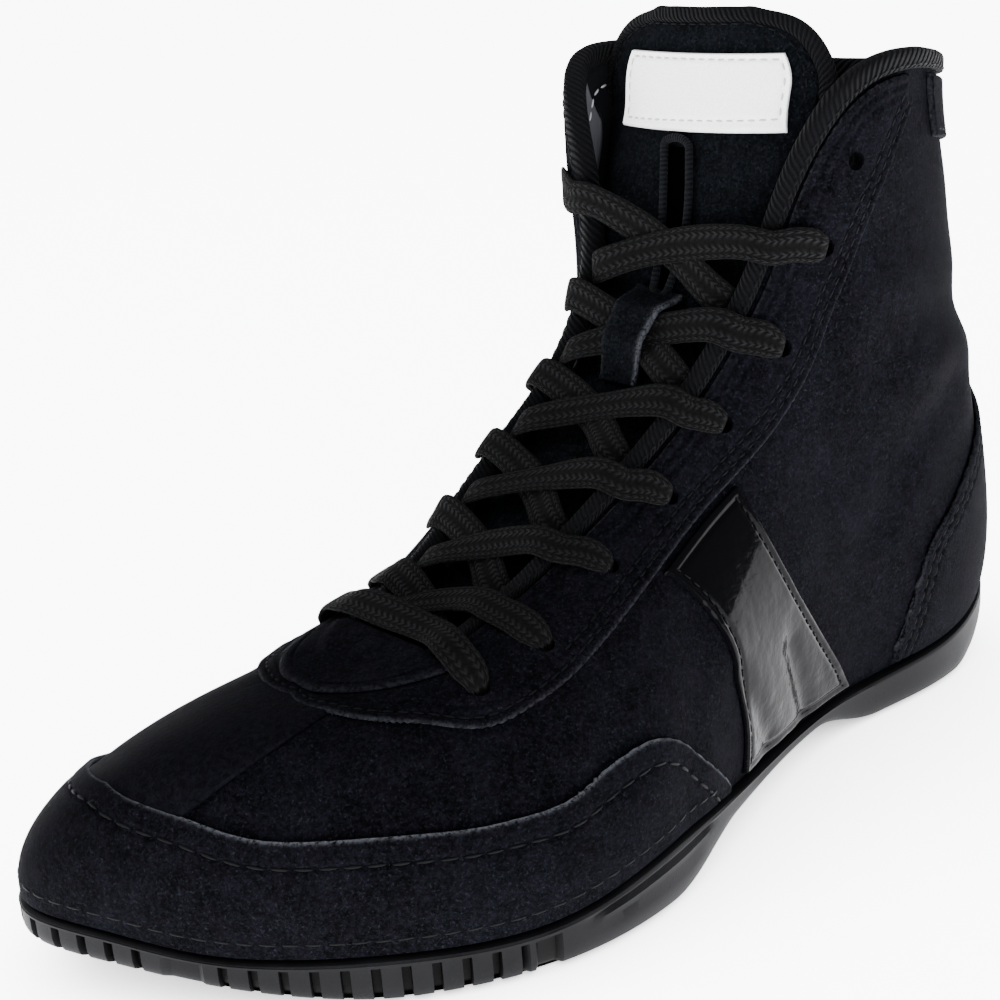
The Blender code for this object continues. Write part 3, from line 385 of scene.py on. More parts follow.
def make_outsole():
    columns, cut, reach, around = slot_columns()
    signed = np.where(columns > ROUND / 2, columns - ROUND, columns)
    cut = cut * ((signed > SLOT_STATIONS[0]) & (signed < SLOT_STATIONS[1]))
    for window, width, depth in WINDOWS:
        away = np.abs(np.interp(columns, around, reach) - np.interp(window, around, reach))
        cut = np.where(away < width / 2 + 3.0, np.where(away < width / 2, depth / SLOT_DEPTH, 0.0), cut)
    # The profile from the seat over the lip and down the sidewall: outward offset, share of the
    # sidewall's height above the tread, extra height, and how deep a slot reaches here
    profile = np.array([
        (-SEAT_INSET, 0.0, 0.0, 0.0), (-2.9, 1.0, -1.6, 0.0), (-2.7, 1.0, -0.5, 0.0),
        (-2.2, 1.0, 0.0, 0.0), (0.6, 1.0, 0.0, 0.0), (1.4, 1.0, -0.1, 0.0), (1.95, 1.0, -0.4, 0.0),
        (RIM_WIDTH, 1.0, -0.9, 0.0), (RIM_WIDTH + 0.05, 0.90, 0.0, 0.0), (RIM_WIDTH, 0.83, 0.0, 0.0),
        (RIM_WIDTH, 0.81, 0.0, 1.0), (RIM_WIDTH, 0.72, 0.0, 1.0), (RIM_WIDTH, 0.58, 0.0, 1.0),
        (RIM_WIDTH, 0.42, 0.0, 1.0), (RIM_WIDTH - 0.15, 0.28, 0.0, 1.0), (RIM_WIDTH - 0.4, 0.17, 0.0, 1.0),
        (RIM_WIDTH - 0.8, 0.09, 0.0, 1.0), (RIM_WIDTH - TREAD_BEVEL + 0.2, 0.035, 0.0, 0.9),
        (RIM_WIDTH - TREAD_BEVEL - 0.8, 0.0, 0.0, 0.0), (-TREAD_INSET, 0.0, 0.0, 0.0),
    ])
    last = len(columns) - 1

    def band(u, v):
        column = np.rint(u * last).astype(int)
        row = np.rint(v * (len(profile) - 1)).astype(int)
        station = columns[column]
        offset, share, extra, reach_in = profile[len(profile) - 1 - row].T
        depth = cut[column] * reach_in * SLOT_DEPTH
        for first, end, height, size in FLARE_RIBS:
            along = smooth((signed[column] - first) / 0.3) * smooth((end - signed[column]) / 0.3)
            depth = depth + size * along * np.exp(-((share - height) / 0.05) ** 2)
        points = feather_out(station, offset - depth)
        lip = along_loop(LOOPS[0], station)[:, 2] - CLEARANCE
        tread = tread_height(points[:, 0])
        seat = np.maximum(lip + CLEARANCE - SEAT_DROP, tread + SEAT_FLOOR)
        height = tread + share * (lip - tread) + extra
        points[:, 2] = np.where(row == len(profile) - 1, seat, height)
        # The slot mark goes to the rubber, which paints these cuts near black as a painted shade.
        return points, {"slot": cut[column] * reach_in}

    side = bent_grid("outsole", last, len(profile) - 1, band, closed=True)

    def tread_floor(u, v):
        outer, inner = sole_edges(v, TREAD_INSET)
        points = outer + (inner - outer) * u[:, None]
        x = points[:, 0]
        edge = np.minimum(u, 1.0 - u) * np.linalg.norm(inner - outer, axis=1)
        cutting = np.zeros(len(x))
        for first, end in ((0.09 * LAST_LENGTH, HEEL_BREAST * LAST_LENGTH),
                           (TREAD_START * LAST_LENGTH, 0.85 * LAST_LENGTH)):
            phase = (x - first + GROOVE_PITCH / 2) % GROOVE_PITCH - GROOVE_PITCH / 2
            inside = (x > first - GROOVE_WIDTH) & (x < end + GROOVE_WIDTH) & (edge > 5.0)
            cutting += inside * smooth((GROOVE_WIDTH / 2 + 0.3 - np.abs(phase)) / 0.6)
        points[:, 2] = tread_height(x) + GROOVE_DEPTH * cutting
        # The grooves get the same slot mark, painted near black as a painted shade in them.
        return points, {"slot": cutting}

    floor = bent_grid("tread_floor", 60, 420, tread_floor)

    seat = bent_grid("seat_floor", 12, 120, lambda u, v: (on_seat(u, v, SEAT_INSET), {"slot": 0.0 * u}))
    shape = bmesh.new()
    for mesh in (side, floor, seat):
        shape.from_mesh(mesh)
    for mesh in (floor, seat):
        bpy.data.meshes.remove(mesh)
    shape.to_mesh(side)
    shape.free()
    return finished(side, RUBBER, ("outsole",), 32.0)


make_outsole()


# Insole: a thin foam sheet under dark woven cloth, cut to the foot and laid loose in the seat of the
# outsole.
INSOLE_THICKNESS = 3.0
INSOLE_INSET = 4.7


def textured(name, base, roughness, settings, size, detail, depth, stops=None, warp=0.0, fineness=0.6):
    """Material with one fine noise, its size and depth in millimetres, which also tones it where
    stops are given."""
    material = start_material(name, base, roughness, settings)
    spot = add_node(material, "TexCoord").outputs["Object"]
    noise = add_node(material, "TexNoise", {"Scale": 1 / (size * MM), "Detail": detail,
                                            "Roughness": fineness, "Distortion": warp}, {"Vector": spot})
    if stops:
        feed(material, "Base Color", add_node(material, "ValToRGB", {"stops": stops}, {"Fac": noise}))
    feed(material, "Normal", add_node(material, "Bump", {"Distance": depth * MM}, {"Height": noise}))
    return material


# Woven cloth: dull, and it takes the light evenly
INSOLE_CLOTH = textured("insole_cloth", "#121316", 0.95, {"Specular IOR Level": 0.1}, 0.7, 3.0, 0.1)


def insole_place(u, v):
    return on_seat(u, v, INSOLE_INSET, CLEARANCE + INSOLE_THICKNESS), {}


insole = finished(bent_grid("insole", 14, 120, insole_place), INSOLE_CLOTH, ("insole",))
thickened(insole, INSOLE_THICKNESS)


# Upper: one shell of split suede, sewn to shape and lasted, open at the collar, the throat and
# underneath. The other panels are sewn on to it. Eyelet holes are punched through all layers.
EyeletRow = namedtuple("EyeletRow", "lateral medial rise edge")
EYELET_ROWS = (
    EyeletRow(3.20, 20.80, 0.740, 2.62),
    EyeletRow(3.92, 20.08, 0.755, 3.70),
    EyeletRow(4.90, 19.10, 0.810, 4.75),
    EyeletRow(5.88, 18.12, 0.830, 5.75),
    EyeletRow(6.90, 17.10, 0.850, 6.75),
    EyeletRow(8.03, 15.97, 0.820, 7.60),
    EyeletRow(9.18, 14.84, 0.825, 8.40),
    EyeletRow(9.72, 14.28, 0.890, 9.10),
)
EYELET_DIAMETER = 4.2


# Suede worn soft has dents and swellings that run through the wall and all that is sewn to it. Each
# is a straight stroke from one place on the wall to another, with its width and its lift.
FOLD_DEPTH = 1.35
Fold = namedtuple("Fold", "station rise to_station to_rise width lift")
FOLDS = (
    Fold(3.6, 0.30, 3.3, 0.62, 7.0, -0.7),
    Fold(4.3, 0.22, 4.4, 0.58, 6.0, -0.6),
    Fold(2.7, 0.40, 2.5, 0.66, 8.0, 0.5),
    Fold(5.2, 0.12, 5.6, 0.50, 6.0, -0.7),
    Fold(6.6, 0.06, 6.1, 0.28, 4.0, -0.8),
    Fold(7.3, 0.05, 7.0, 0.24, 4.0, -0.7),
    Fold(7.9, 0.12, 7.5, 0.42, 6.0, 0.5),
    Fold(8.7, 0.34, 10.4, 0.50, 7.0, -1.3),
    Fold(9.6, 0.60, 11.6, 0.66, 8.0, -1.2),
    Fold(8.0, 0.52, 9.4, 0.46, 8.0, -0.8),
    Fold(9.0, 0.78, 10.8, 0.74, 9.0, -0.7),
    Fold(10.2, 0.56, 11.4, 0.57, 7.0, 0.7),
    Fold(13.6, 0.34, 15.3, 0.50, 7.0, -1.2),
    Fold(12.4, 0.66, 14.4, 0.60, 8.0, -1.1),
    Fold(14.8, 0.76, 13.4, 0.74, 9.0, -0.7),
    Fold(16.2, 0.40, 15.0, 0.36, 6.0, -0.7),
    Fold(17.4, 0.06, 17.7, 0.30, 4.0, -0.8),
    Fold(18.6, 0.12, 18.3, 0.46, 6.0, -0.7),
    Fold(19.8, 0.26, 19.9, 0.58, 7.0, -0.7),
    Fold(20.9, 0.36, 21.1, 0.62, 8.0, 0.4),
    Fold(10.9, 1.0, 13.1, 1.0, 26.0, -2.6),
)


def fold_lift(station, rise):
    """Lift of the folds at places on the wall."""
    station, rise = places(station, rise)
    points = wall(station, rise)
    lift = np.zeros(len(points))
    share = np.linspace(0.0, 1.0, 15)
    for fold in FOLDS:
        stroke = wall(fold.station + (fold.to_station - fold.station) * share,
                      fold.rise + (fold.to_rise - fold.rise) * share)
        away = np.full(len(points), 1e9)
        for place in stroke:
            away = np.minimum(away, dot(points - place, points - place))
        lift += FOLD_DEPTH * fold.lift * np.exp(-away / fold.width ** 2)
    return lift


def on_form(station, rise, lift=0.0):
    """Points lifted off the wall, folds included."""
    station, rise, lift = places(station, rise, lift)
    lift = lift + fold_lift(station, rise)
    return wall(station, rise) + wall_normal(station, rise) * lift[:, None]


def suede(name, dark, light, warm="#110d14", tip="#1c1e24"):
    """Brushed split leather: almost black blue, a short nap that lies two ways in soft clouds, pale
    fibre tips, and a paler raw edge where a piece has been cut. It has no gloss at all."""
    material = start_material(name, dark, 0.95, {"Specular IOR Level": 0.02, "Sheen Weight": 0.006,
                                                 "Sheen Roughness": 0.6, "Sheen Tint": "#7d8896"})
    spot = add_node(material, "TexCoord").outputs["Object"]
    tone = None
    noises = {}
    for layer, size, detail, roughness, warp, low, high, first, second, factor, blend in (
            ("clouds", 19.0, 5.0, 0.6, 0.8, 0.42, 0.60, dark, light, 1.0, "MIX"),
            ("brushed", 4.0, 6.0, 0.75, 0.4, 0.42, 0.62, "#000000", warm, 0.5, "MIX"),
            ("nap", 0.9, 4.0, 0.75, 0.0, 0.46, 0.58, "#000000", light, 0.55, "MIX"),
            ("fleck", 0.55, 2.0, 0.6, 0.0, 0.58, 0.74, "#000000", tip, 0.6, "ADD")):
        noises[layer] = add_node(material, "TexNoise",
                                 {"Scale": 1 / (size * MM), "Detail": detail, "Roughness": roughness,
                                  "Distortion": warp}, {"Vector": spot})
        shade = add_node(material, "ValToRGB", {"stops": ((low, first), (high, second))},
                         {"Fac": noises[layer]})
        if tone is None:
            tone = shade
            continue
        tone = add_node(material, "Mix", {"data_type": "RGBA", "blend_type": blend, 0: factor},
                        {6: tone, 7: shade}).outputs[2]
    cut = add_node(material, "Attribute", {"attribute_name": "edge"}).outputs["Fac"]
    torn = add_node(material, "MapRange", {"From Min": 0.36, "From Max": 0.56}, {"Value": noises["nap"]})
    raw = add_node(material, "Math", {"operation": "MULTIPLY"}, {0: cut, 1: torn})
    tone = add_node(material, "Mix", {"data_type": "RGBA", 7: "#5f6167"}, {0: raw, 6: tone}).outputs[2]
    feed(material, "Base Color", tone)
    soft = add_node(material, "Bump", {"Strength": 1.2, "Distance": 0.6 * MM},
                    {"Height": noises["brushed"]})
    feed(material, "Normal", add_node(material, "Bump", {"Distance": 0.5 * MM},
                                      {"Height": noises["nap"], "Normal": soft}))
    return material


SUEDE = suede("suede_navy_black", "#010102", "#0b0c11")


def upper_place(u, v):
    return on_form(u * ROUND, v), {"edge": np.zeros(len(u))}


def punched(piece, reach=4.0):
    """Cuts the eyelet holes through a piece and keeps the result as its mesh."""
    cutter = bmesh.new()
    for row in EYELET_ROWS:
        for station in (row.lateral, row.medial):
            centre = on_form(station, row.rise)[0] + STAND
            normal = wall_normal(station, row.rise)[0]
            turn = Vector(normal).to_track_quat("Z", "Y").to_matrix().to_4x4()
            bmesh.ops.create_cone(cutter, cap_ends=True, segments=24, radius1=EYELET_DIAMETER / 2 * MM,
                                  radius2=EYELET_DIAMETER / 2 * MM, depth=2 * reach * MM,
                                  matrix=Matrix.Translation(Vector(centre) * MM) @ turn)
    mesh = mesh_of("eyelet_cutter", cutter)
    holder = added("eyelet_cutter", mesh)
    cut = piece.modifiers.new("eyelets", "BOOLEAN")
    cut.operation = "DIFFERENCE"
    cut.object = holder
    done = bpy.data.meshes.new_from_object(piece.evaluated_get(bpy.context.evaluated_depsgraph_get()))
    piece.modifiers.clear()
    old = piece.data
    piece.data = done
    name = old.name
    bpy.data.meshes.remove(old)
    done.name = name
    bpy.data.objects.remove(holder)
    bpy.data.meshes.remove(mesh)


upper = finished(bent_grid("upper", 400, 80, upper_place, closed=True), SUEDE, ("upper",))
thickened(upper, WALL)
punched(upper)


# Lining: thin dark woven cloth, glued to the inside of the upper from the sole to the top line and
# punched with it at the eyelets.
LINING_THICKNESS = 0.5
LINING_GAP = 0.15
# Woven cloth, darker and finer than the insole's
LINING = textured("lining_cloth", "#08090b", 0.95, {"Specular IOR Level": 0.1}, 0.6, 3.0, 0.12)


def lining_place(u, v):
    return on_form((1.0 - u) * ROUND, 0.03 + 0.955 * v, -WALL - LINING_THICKNESS - LINING_GAP), {}


lining = finished(bent_grid("lining", 220, 44, lining_place, closed=True), LINING)
thickened(lining, LINING_THICKNESS)
punched(lining)


# Overlays: panels of the same suede, die cut and sewn flat on the upper with a row of long stitches
# along each edge. Every edge is a smooth line on the wall, and the panel rounds off at the cut.
SUEDE_OVERLAY = 1.2
SUEDE_FACE = CLEARANCE + SUEDE_OVERLAY
OVERLAY_BODY = 0.9
BINDING_DEPTH = 3.2
BORDER_POINTS = 700
CHANNEL_DEPTH, CHANNEL_WIDTH, RAW_EDGE = 0.4, 0.6, 0.45
OVERLAY_TO_BINDING = 1.1
OVERLAY_FOOT = 0.015
GUARD_EDGE = ((0.0, 0.455), (1.0, 0.410), (1.8, 0.375), (2.7, 0.370), (3.5, 0.338), (4.0, 0.328),
              (4.4, 0.350), (4.8, 0.335), (5.15, 0.265), (5.5, 0.150), (5.9, 0.030))
EYESTAY_EDGE = ((0.0, 0.860), (1.4, 0.785), (2.6, 0.695), (3.4, 0.612), (3.9, 0.617), (4.5, 0.650),
                (6.1, 0.725), (7.6, 0.722), (8.9, 0.730), (9.5, 0.765), (10.0, 0.840), (10.4, 0.930))
COUNTER_EDGE = ((8.8, 0.040), (9.3, 0.215), (10.0, 0.310), (10.8, 0.420), (11.5, 0.500), (12.0, 0.520))


def through(table, station):
    """Rise of the smooth line through a table of stations and rises."""
    stations, rises = np.array(table).T
    slopes = np.gradient(rises, stations)
    at = np.clip(station, stations[0], stations[-1])
    i = np.clip(np.searchsorted(stations, at) - 1, 0, len(stations) - 2)
    span = stations[i + 1] - stations[i]
    return hermite(rises[i], rises[i + 1], slopes[i] * span, slopes[i + 1] * span, (at - stations[i]) / span)


def guard_rise(station):
    return through(GUARD_EDGE, np.abs(station))


def eyestay_rise(station):
    return through(EYESTAY_EDGE, np.abs(station))


def counter_rise(station):
    return through(COUNTER_EDGE, ROUND / 2 - np.abs(station - ROUND / 2))


def foot_rise(station):
    return np.full(np.shape(station), OVERLAY_FOOT)


def clear_rise(station):
    """Highest rise of an overlay that stops short of the binding."""
    along, upward = wall_slopes(station, 1.0)
    across = np.linalg.norm(np.cross(unit(along), upward), axis=1)
    return np.minimum(0.985, 1.0 - (BINDING_DEPTH + OVERLAY_TO_BINDING) / across)


def moved_on_wall(station, rise, shift):
    """Stations and rises reached from places on the wall by a short move along it."""
    along, upward = wall_slopes(station, rise)
    square = dot(along, along) * dot(upward, upward) - dot(along, upward) ** 2
    across = dot(shift, along) * dot(upward, upward) - dot(shift, upward) * dot(along, upward)
    up = dot(shift, upward) * dot(along, along) - dot(shift, along) * dot(along, upward)
    return station + across / square, rise + up / square


def beside(station, rise, offset, moves=4):
    """The line that runs beside another on the wall, offset to its left in millimetres."""
    station, rise = places(station, rise)
    for _ in range(moves):
        ahead = unit(np.gradient(wall(station, rise), axis=0))
        left = np.cross(wall_normal(station, rise), ahead)
        station, rise = moved_on_wall(station, rise, left * offset / moves)
    return station, rise


def away_from(points, line):
    """Distance of each point to the nearest point of a line."""
    nearest = np.full(len(points), 1e9)
    for first in range(0, len(line), 40):
        part = line[first:first + 40]
        gap = ((points[:, None, :] - part[None, :, :]) ** 2).sum(axis=2).min(axis=1)
        nearest = np.minimum(nearest, gap)
    return np.sqrt(nearest)


def panel(name, columns, rows, outline_of, face, channels=(), rounding=0.9, round_feet=False, raw=0.12,
          foot=0.15):
    """Panel on the wall. outline_of(u, v) gives stations and rises; its border is the cut edge, which
    starts at the foot's lift and rounds over to the face's. A row of stitches pulls the surface in
    at each distance in channels, and raw says how pale the cut edge shows."""
    edge = np.linspace(0.0, 1.0, BORDER_POINTS)
    zero = np.zeros(BORDER_POINTS)
    border = [outline_of(edge, zero + 1.0), outline_of(zero, edge), outline_of(zero + 1.0, edge)]
    if round_feet:
        border.append(outline_of(edge, zero))
    line = np.concatenate([wall(station, rise) for station, rise in border])

    def place(u, v):
        spread = v - 0.6 * np.sin(2 * math.pi * v) / (2 * math.pi)
        station, rise = outline_of(u, spread)
        away = away_from(wall(station, rise), line)
        rest = 1.0 - np.clip(away / rounding, 0.0, 1.0)
        lift = foot + (face - foot) * np.sqrt(np.clip(1.0 - rest ** 2, 0.0, 1.0))
        for channel in channels:
            lift -= CHANNEL_DEPTH * np.exp(-((away - channel) / CHANNEL_WIDTH) ** 2)
        return on_form(station, rise, lift), {"edge": raw * np.exp(-(away / RAW_EDGE) ** 2)}

    return bent_grid(name, columns, rows, place)


def between_lines(first, last, low, high):
    def outline_of(u, v):
        station = first + (last - first) * u
        foot = low(station)
        return station, foot + (high(station) - foot) * v
    return outline_of


STITCH_SWAY, SWAY_STEP = 0.06, 12.9898


def path_at(distance, reach, values):
    """Rows of values at distances along a path."""
    return np.stack([np.interp(distance, reach, column) for column in values.T], axis=1)


def stitch_row(shape, path, normals, pitch, length, width, height):
    """Adds a row of stitches to a bmesh: threads that dip into the surface at both ends."""
    reach = path_reach(path)
    count = max(2, int(reach[-1] / pitch))
    at = (np.arange(count) + 0.5) * reach[-1] / count
    centre = path_at(at, reach, path) + STAND
    facing = unit(path_at(at, reach, normals))
    ahead = unit(path_at(at + 0.5, reach, path) - path_at(at - 0.5, reach, path))
    left = unit(np.cross(facing, ahead))
    for i in range(count):
        sway = STITCH_SWAY * math.sin(SWAY_STEP * i)
        run = unit(ahead[i] + left[i] * sway)
        side = unit(np.cross(facing[i], run))
        axes = Matrix((run * length / 2, side * width / 2, facing[i] * height / 2)).transposed().to_4x4()
        bmesh.ops.create_uvsphere(shape, u_segments=8, v_segments=5, radius=MM,
                                  matrix=Matrix.Translation(Vector(centre[i]) * MM) @ axes)


def wall_seam(shape, line, offset, lift, pitch, length, width, height):
    """Stitches on the form beside a line of stations and rises."""
    station, rise = beside(line[0], line[1], offset)
    keep = (rise > 0.008) & (rise < 0.992)
    station, rise = station[keep], rise[keep]
    stitch_row(shape, on_form(station, rise, lift), wall_normal(station, rise), pitch, length, width, height)


def seam_piece(name, shape, material):
    return finished(mesh_of(name, shape), material, sharp=80.0)


# Spun polyester thread, waxed black, so that a stitch shows by its shape and hardly by its colour
THREAD = start_material("polyester_thread", "#040506", 0.65, {"Specular IOR Level": 0.06})


# Stitches by pitch, length, width and height
GUARD_STITCH, FOOT_STITCH, COUNTER_STITCH = (4.6, 3.9, 0.75, 0.6), (4.4, 3.6, 0.7, 0.55), (3.4, 2.7, 0.6, 0.5)
EYESTAY_STITCH, CUFF_STITCH, STRIP_STITCH = (3.0, 2.4, 0.55, 0.45), (2.8, 2.2, 0.5, 0.4), (3.2, 2.6, 0.5, 0.45)
SADDLE_STITCH = (2.6, 2.0, 0.5, 0.45)
SEAM_SUNK, SEAM_FLUSH = SUEDE_FACE - 0.32, SUEDE_FACE - 0.1


def sewn(name, node_slot, *seams):
    """One piece of dark stitches from several seams, each given as wall_seam takes it."""
    shape = bmesh.new()
    for seam in seams:
        wall_seam(shape, *seam)
    seam_piece(name, shape, THREAD)


def overlay(mesh, material=SUEDE, body=OVERLAY_BODY):
    """Overlay with its own thickness. It stands for the CAD node of its name, from which Blender
    tells the mesh by a number after a dot."""
    node = mesh.name.partition(".")[0]
    return thickened(finished(mesh, material, (node,)), body)


# Toe guard: one piece of suede that wraps the toe and the ball above the sole. It is sewn with one
# row of long stitches near its raw edge and one just over the sole.
guard_end = GUARD_EDGE[-1][0]
overlay(panel("toe_guard", 390, 72, between_lines(-guard_end, guard_end, foot_rise, guard_rise),
              SUEDE_FACE, (5.0,), raw=1.0))
line = np.linspace(-guard_end, guard_end, 900)
sewn("toe_guard_stitches", "suede",
     ((line, guard_rise(line)), -5.0, SEAM_SUNK, *GUARD_STITCH))
line = np.linspace(-5.4, 5.6, 900)
sewn("toe_guard_foot_stitches", "suede",
     ((line, foot_rise(line)), 3.4, SEAM_FLUSH, *FOOT_STITCH))


# Heel counter: a cupped piece of suede round the heel, from the sole up to the ankle, sewn on with
# two rows of stitches along its edge.
counter_start = COUNTER_EDGE[0][0]
counter_end = ROUND - counter_start
overlay(panel("heel_counter", 220, 66, between_lines(counter_start, counter_end, foot_rise, counter_rise),
              SUEDE_FACE, (2.4, 5.2)))
line = np.linspace(counter_start, counter_end, 600)
edge = (line, counter_rise(line))
sewn("heel_counter_stitches", "suede",
     (edge, -2.4, SEAM_SUNK, *COUNTER_STITCH), (edge, -5.2, SEAM_SUNK, *COUNTER_STITCH))


# Eyestay: one piece of suede from collar to collar round the throat, sewn on with one row of
# stitches round the toe end and two up the sides. The eyelets are punched through it.
eyestay_end = EYESTAY_EDGE[-1][0]


def eyestay_outline(u, v):
    station = eyestay_end - 2 * eyestay_end * u
    low = eyestay_rise(station)
    return station, low + (clear_rise(station) - low) * (1.0 - v)


punched(overlay(panel("eyestay", 460, 60, eyestay_outline, SUEDE_FACE, (2.2, 4.6), round_feet=True)))
line = np.linspace(-eyestay_end, eyestay_end, 900)
seams = [(line, 2.2), (line[line < -4.2], 4.6), (line[line > 4.2], 4.6)]
sewn("eyestay_stitches", "suede",
     *[((part, eyestay_rise(part)), inset, SUEDE_FACE - 0.3, *EYESTAY_STITCH) for part, inset in seams])


# Collar cuff: a low band of suede round the back of the collar. Its upper edge is caught under the
# binding, and its lower edge is sewn to the upper.
CUFF_END, CUFF_FOOT = 10.7, 0.885


def level(rise):
    """An edge that keeps one rise."""
    return lambda station: np.full(np.shape(station), rise)


overlay(panel("collar_cuff", 110, 30, between_lines(CUFF_END, ROUND - CUFF_END, level(CUFF_FOOT), clear_rise),
              SUEDE_FACE, round_feet=True))
line = np.linspace(CUFF_END + 0.03, ROUND - CUFF_END - 0.03, 300)
sewn("collar_cuff_stitches", "suede",
     ((line, np.full(300, CUFF_FOOT)), 2.0, SEAM_FLUSH, *CUFF_STITCH))


# Back stay: a narrow suede strip, thicker than the other pieces, glued and sewn over the seam that
# closes the upper at the heel.
STAY_HALF, STAY_FOOT, STAY_TOP, STAY_OVERLAY = 0.42, 0.545, 0.865, 1.6
stay_outline = between_lines(ROUND / 2 - STAY_HALF, ROUND / 2 + STAY_HALF, level(STAY_FOOT), level(STAY_TOP))
overlay(panel("back_stay", 30, 80, stay_outline, CLEARANCE + STAY_OVERLAY, round_feet=True))


# Vamp strip: thin leather with a pressed grain down the middle of the vamp, its ends tucked under
# the toe guard and the eyestay, with a row of stitches along both sides.
STRIP_SIDES, STRIP_TUCK, LEATHER_STRIP = (-0.65, 1.05), 0.014, 0.7
# Grained leather: pressed pebbles with a worn, dull dressing, a little smoother than the suede
GRAINED = textured("grained_leather", "#040406", 0.8, {"Specular IOR Level": 0.02}, 1.1, 4.0, 0.5,
                   ((0.35, "#030305"), (0.75, "#0d0d12")), 0.8)
strip_outline = between_lines(*STRIP_SIDES, lambda station: guard_rise(station) - STRIP_TUCK,
                              lambda station: eyestay_rise(station) + STRIP_TUCK)
overlay(panel("vamp_strip", 60, 90, strip_outline, CLEARANCE + LEATHER_STRIP, rounding=0.7, round_feet=True,
              foot=0.1), GRAINED, 0.6)
rise = np.linspace(0.40, 0.86, 200)
sewn("vamp_strip_stitches", "suede",
     *[((np.full(200, side), rise), offset, CLEARANCE + 0.3, *STRIP_STITCH)
       for side, offset in zip(STRIP_SIDES, (-1.5, 1.5))])


# Saddle: a band of patent leather on each side, from the eyestay down to the sole at the waist,
# sewn on with one row of stitches along each of its long edges.
PATENT_OVERLAY, SADDLE_GAP = 1.0, 0.02
SADDLE_SEAM_LIFT = CLEARANCE + PATENT_OVERLAY - 0.15
SADDLE_LOW, SADDLE_HIGH = (6.2, 8.1), (5.4, 6.7)
# Patent leather: a clear lacquer over black, which mirrors the floor and the lamps in soft ripples
PATENT = textured("patent_leather", "#030304", 0.16, {"Specular IOR Level": 0.015, "Coat Weight": 0.05,
                                                      "Coat Roughness": 0.05}, 5.0, 3.0, 0.35, fineness=0.5)
cut = add_node(PATENT, "Attribute", {"attribute_name": "edge"}).outputs["Fac"]
feed(PATENT, "Base Color", add_node(PATENT, "Mix", {"data_type": "RGBA", 6: "#030304", 7: "#202124"},
                                    {0: cut}).outputs[2])


def saddle_outline(mirror):
    def outline_of(u, v):
        bow = 0.2 * np.sin(math.pi * v)
        front = SADDLE_LOW[0] + (SADDLE_HIGH[0] - SADDLE_LOW[0]) * v + bow
        behind = SADDLE_LOW[1] + (SADDLE_HIGH[1] - SADDLE_LOW[1]) * v - bow
        station = front + (behind - front) * (1.0 - u if mirror else u)
        limit = eyestay_rise(station) - SADDLE_GAP
        rise = OVERLAY_FOOT + (limit - OVERLAY_FOOT) * v
        return (ROUND - station if mirror else station), rise
    return outline_of


for name, mirror in (("saddle_lateral", False), ("saddle_medial", True)):
    outline_of = saddle_outline(mirror)
    overlay(panel(name, 70, 110, outline_of, CLEARANCE + 0.1 + PATENT_OVERLAY, (2.2,), 0.8, True),
            PATENT)
    run = np.linspace(0.02, 0.98, 160)
    sewn(name + "_stitches", "patent_leather",
         *[(outline_of(np.full(160, side), run), offset, SADDLE_SEAM_LIFT, *SADDLE_STITCH)
           for side, offset in ((0.0, -2.2), (1.0, 2.2))])


# Binding: a folded twill tape sewn over the whole top line, collar and throat alike. Its ribs run
# slantwise, and a row of stitches holds its outer leg.
BINDING_WALL, BINDING_GAP = 0.9, 0.75


def from_top_line(station, setback):
    """Stations and rises of the places on the wall that lie setback from the top line."""
    station, setback = places(station, setback)
    along, upward = wall_slopes(station, 1.0)
    inward = unit(np.cross(along, np.cross(along, upward)))
    inward *= -np.sign(dot(inward, upward))[:, None]
    return moved_on_wall(station, np.ones(len(station)), inward * setback[:, None])


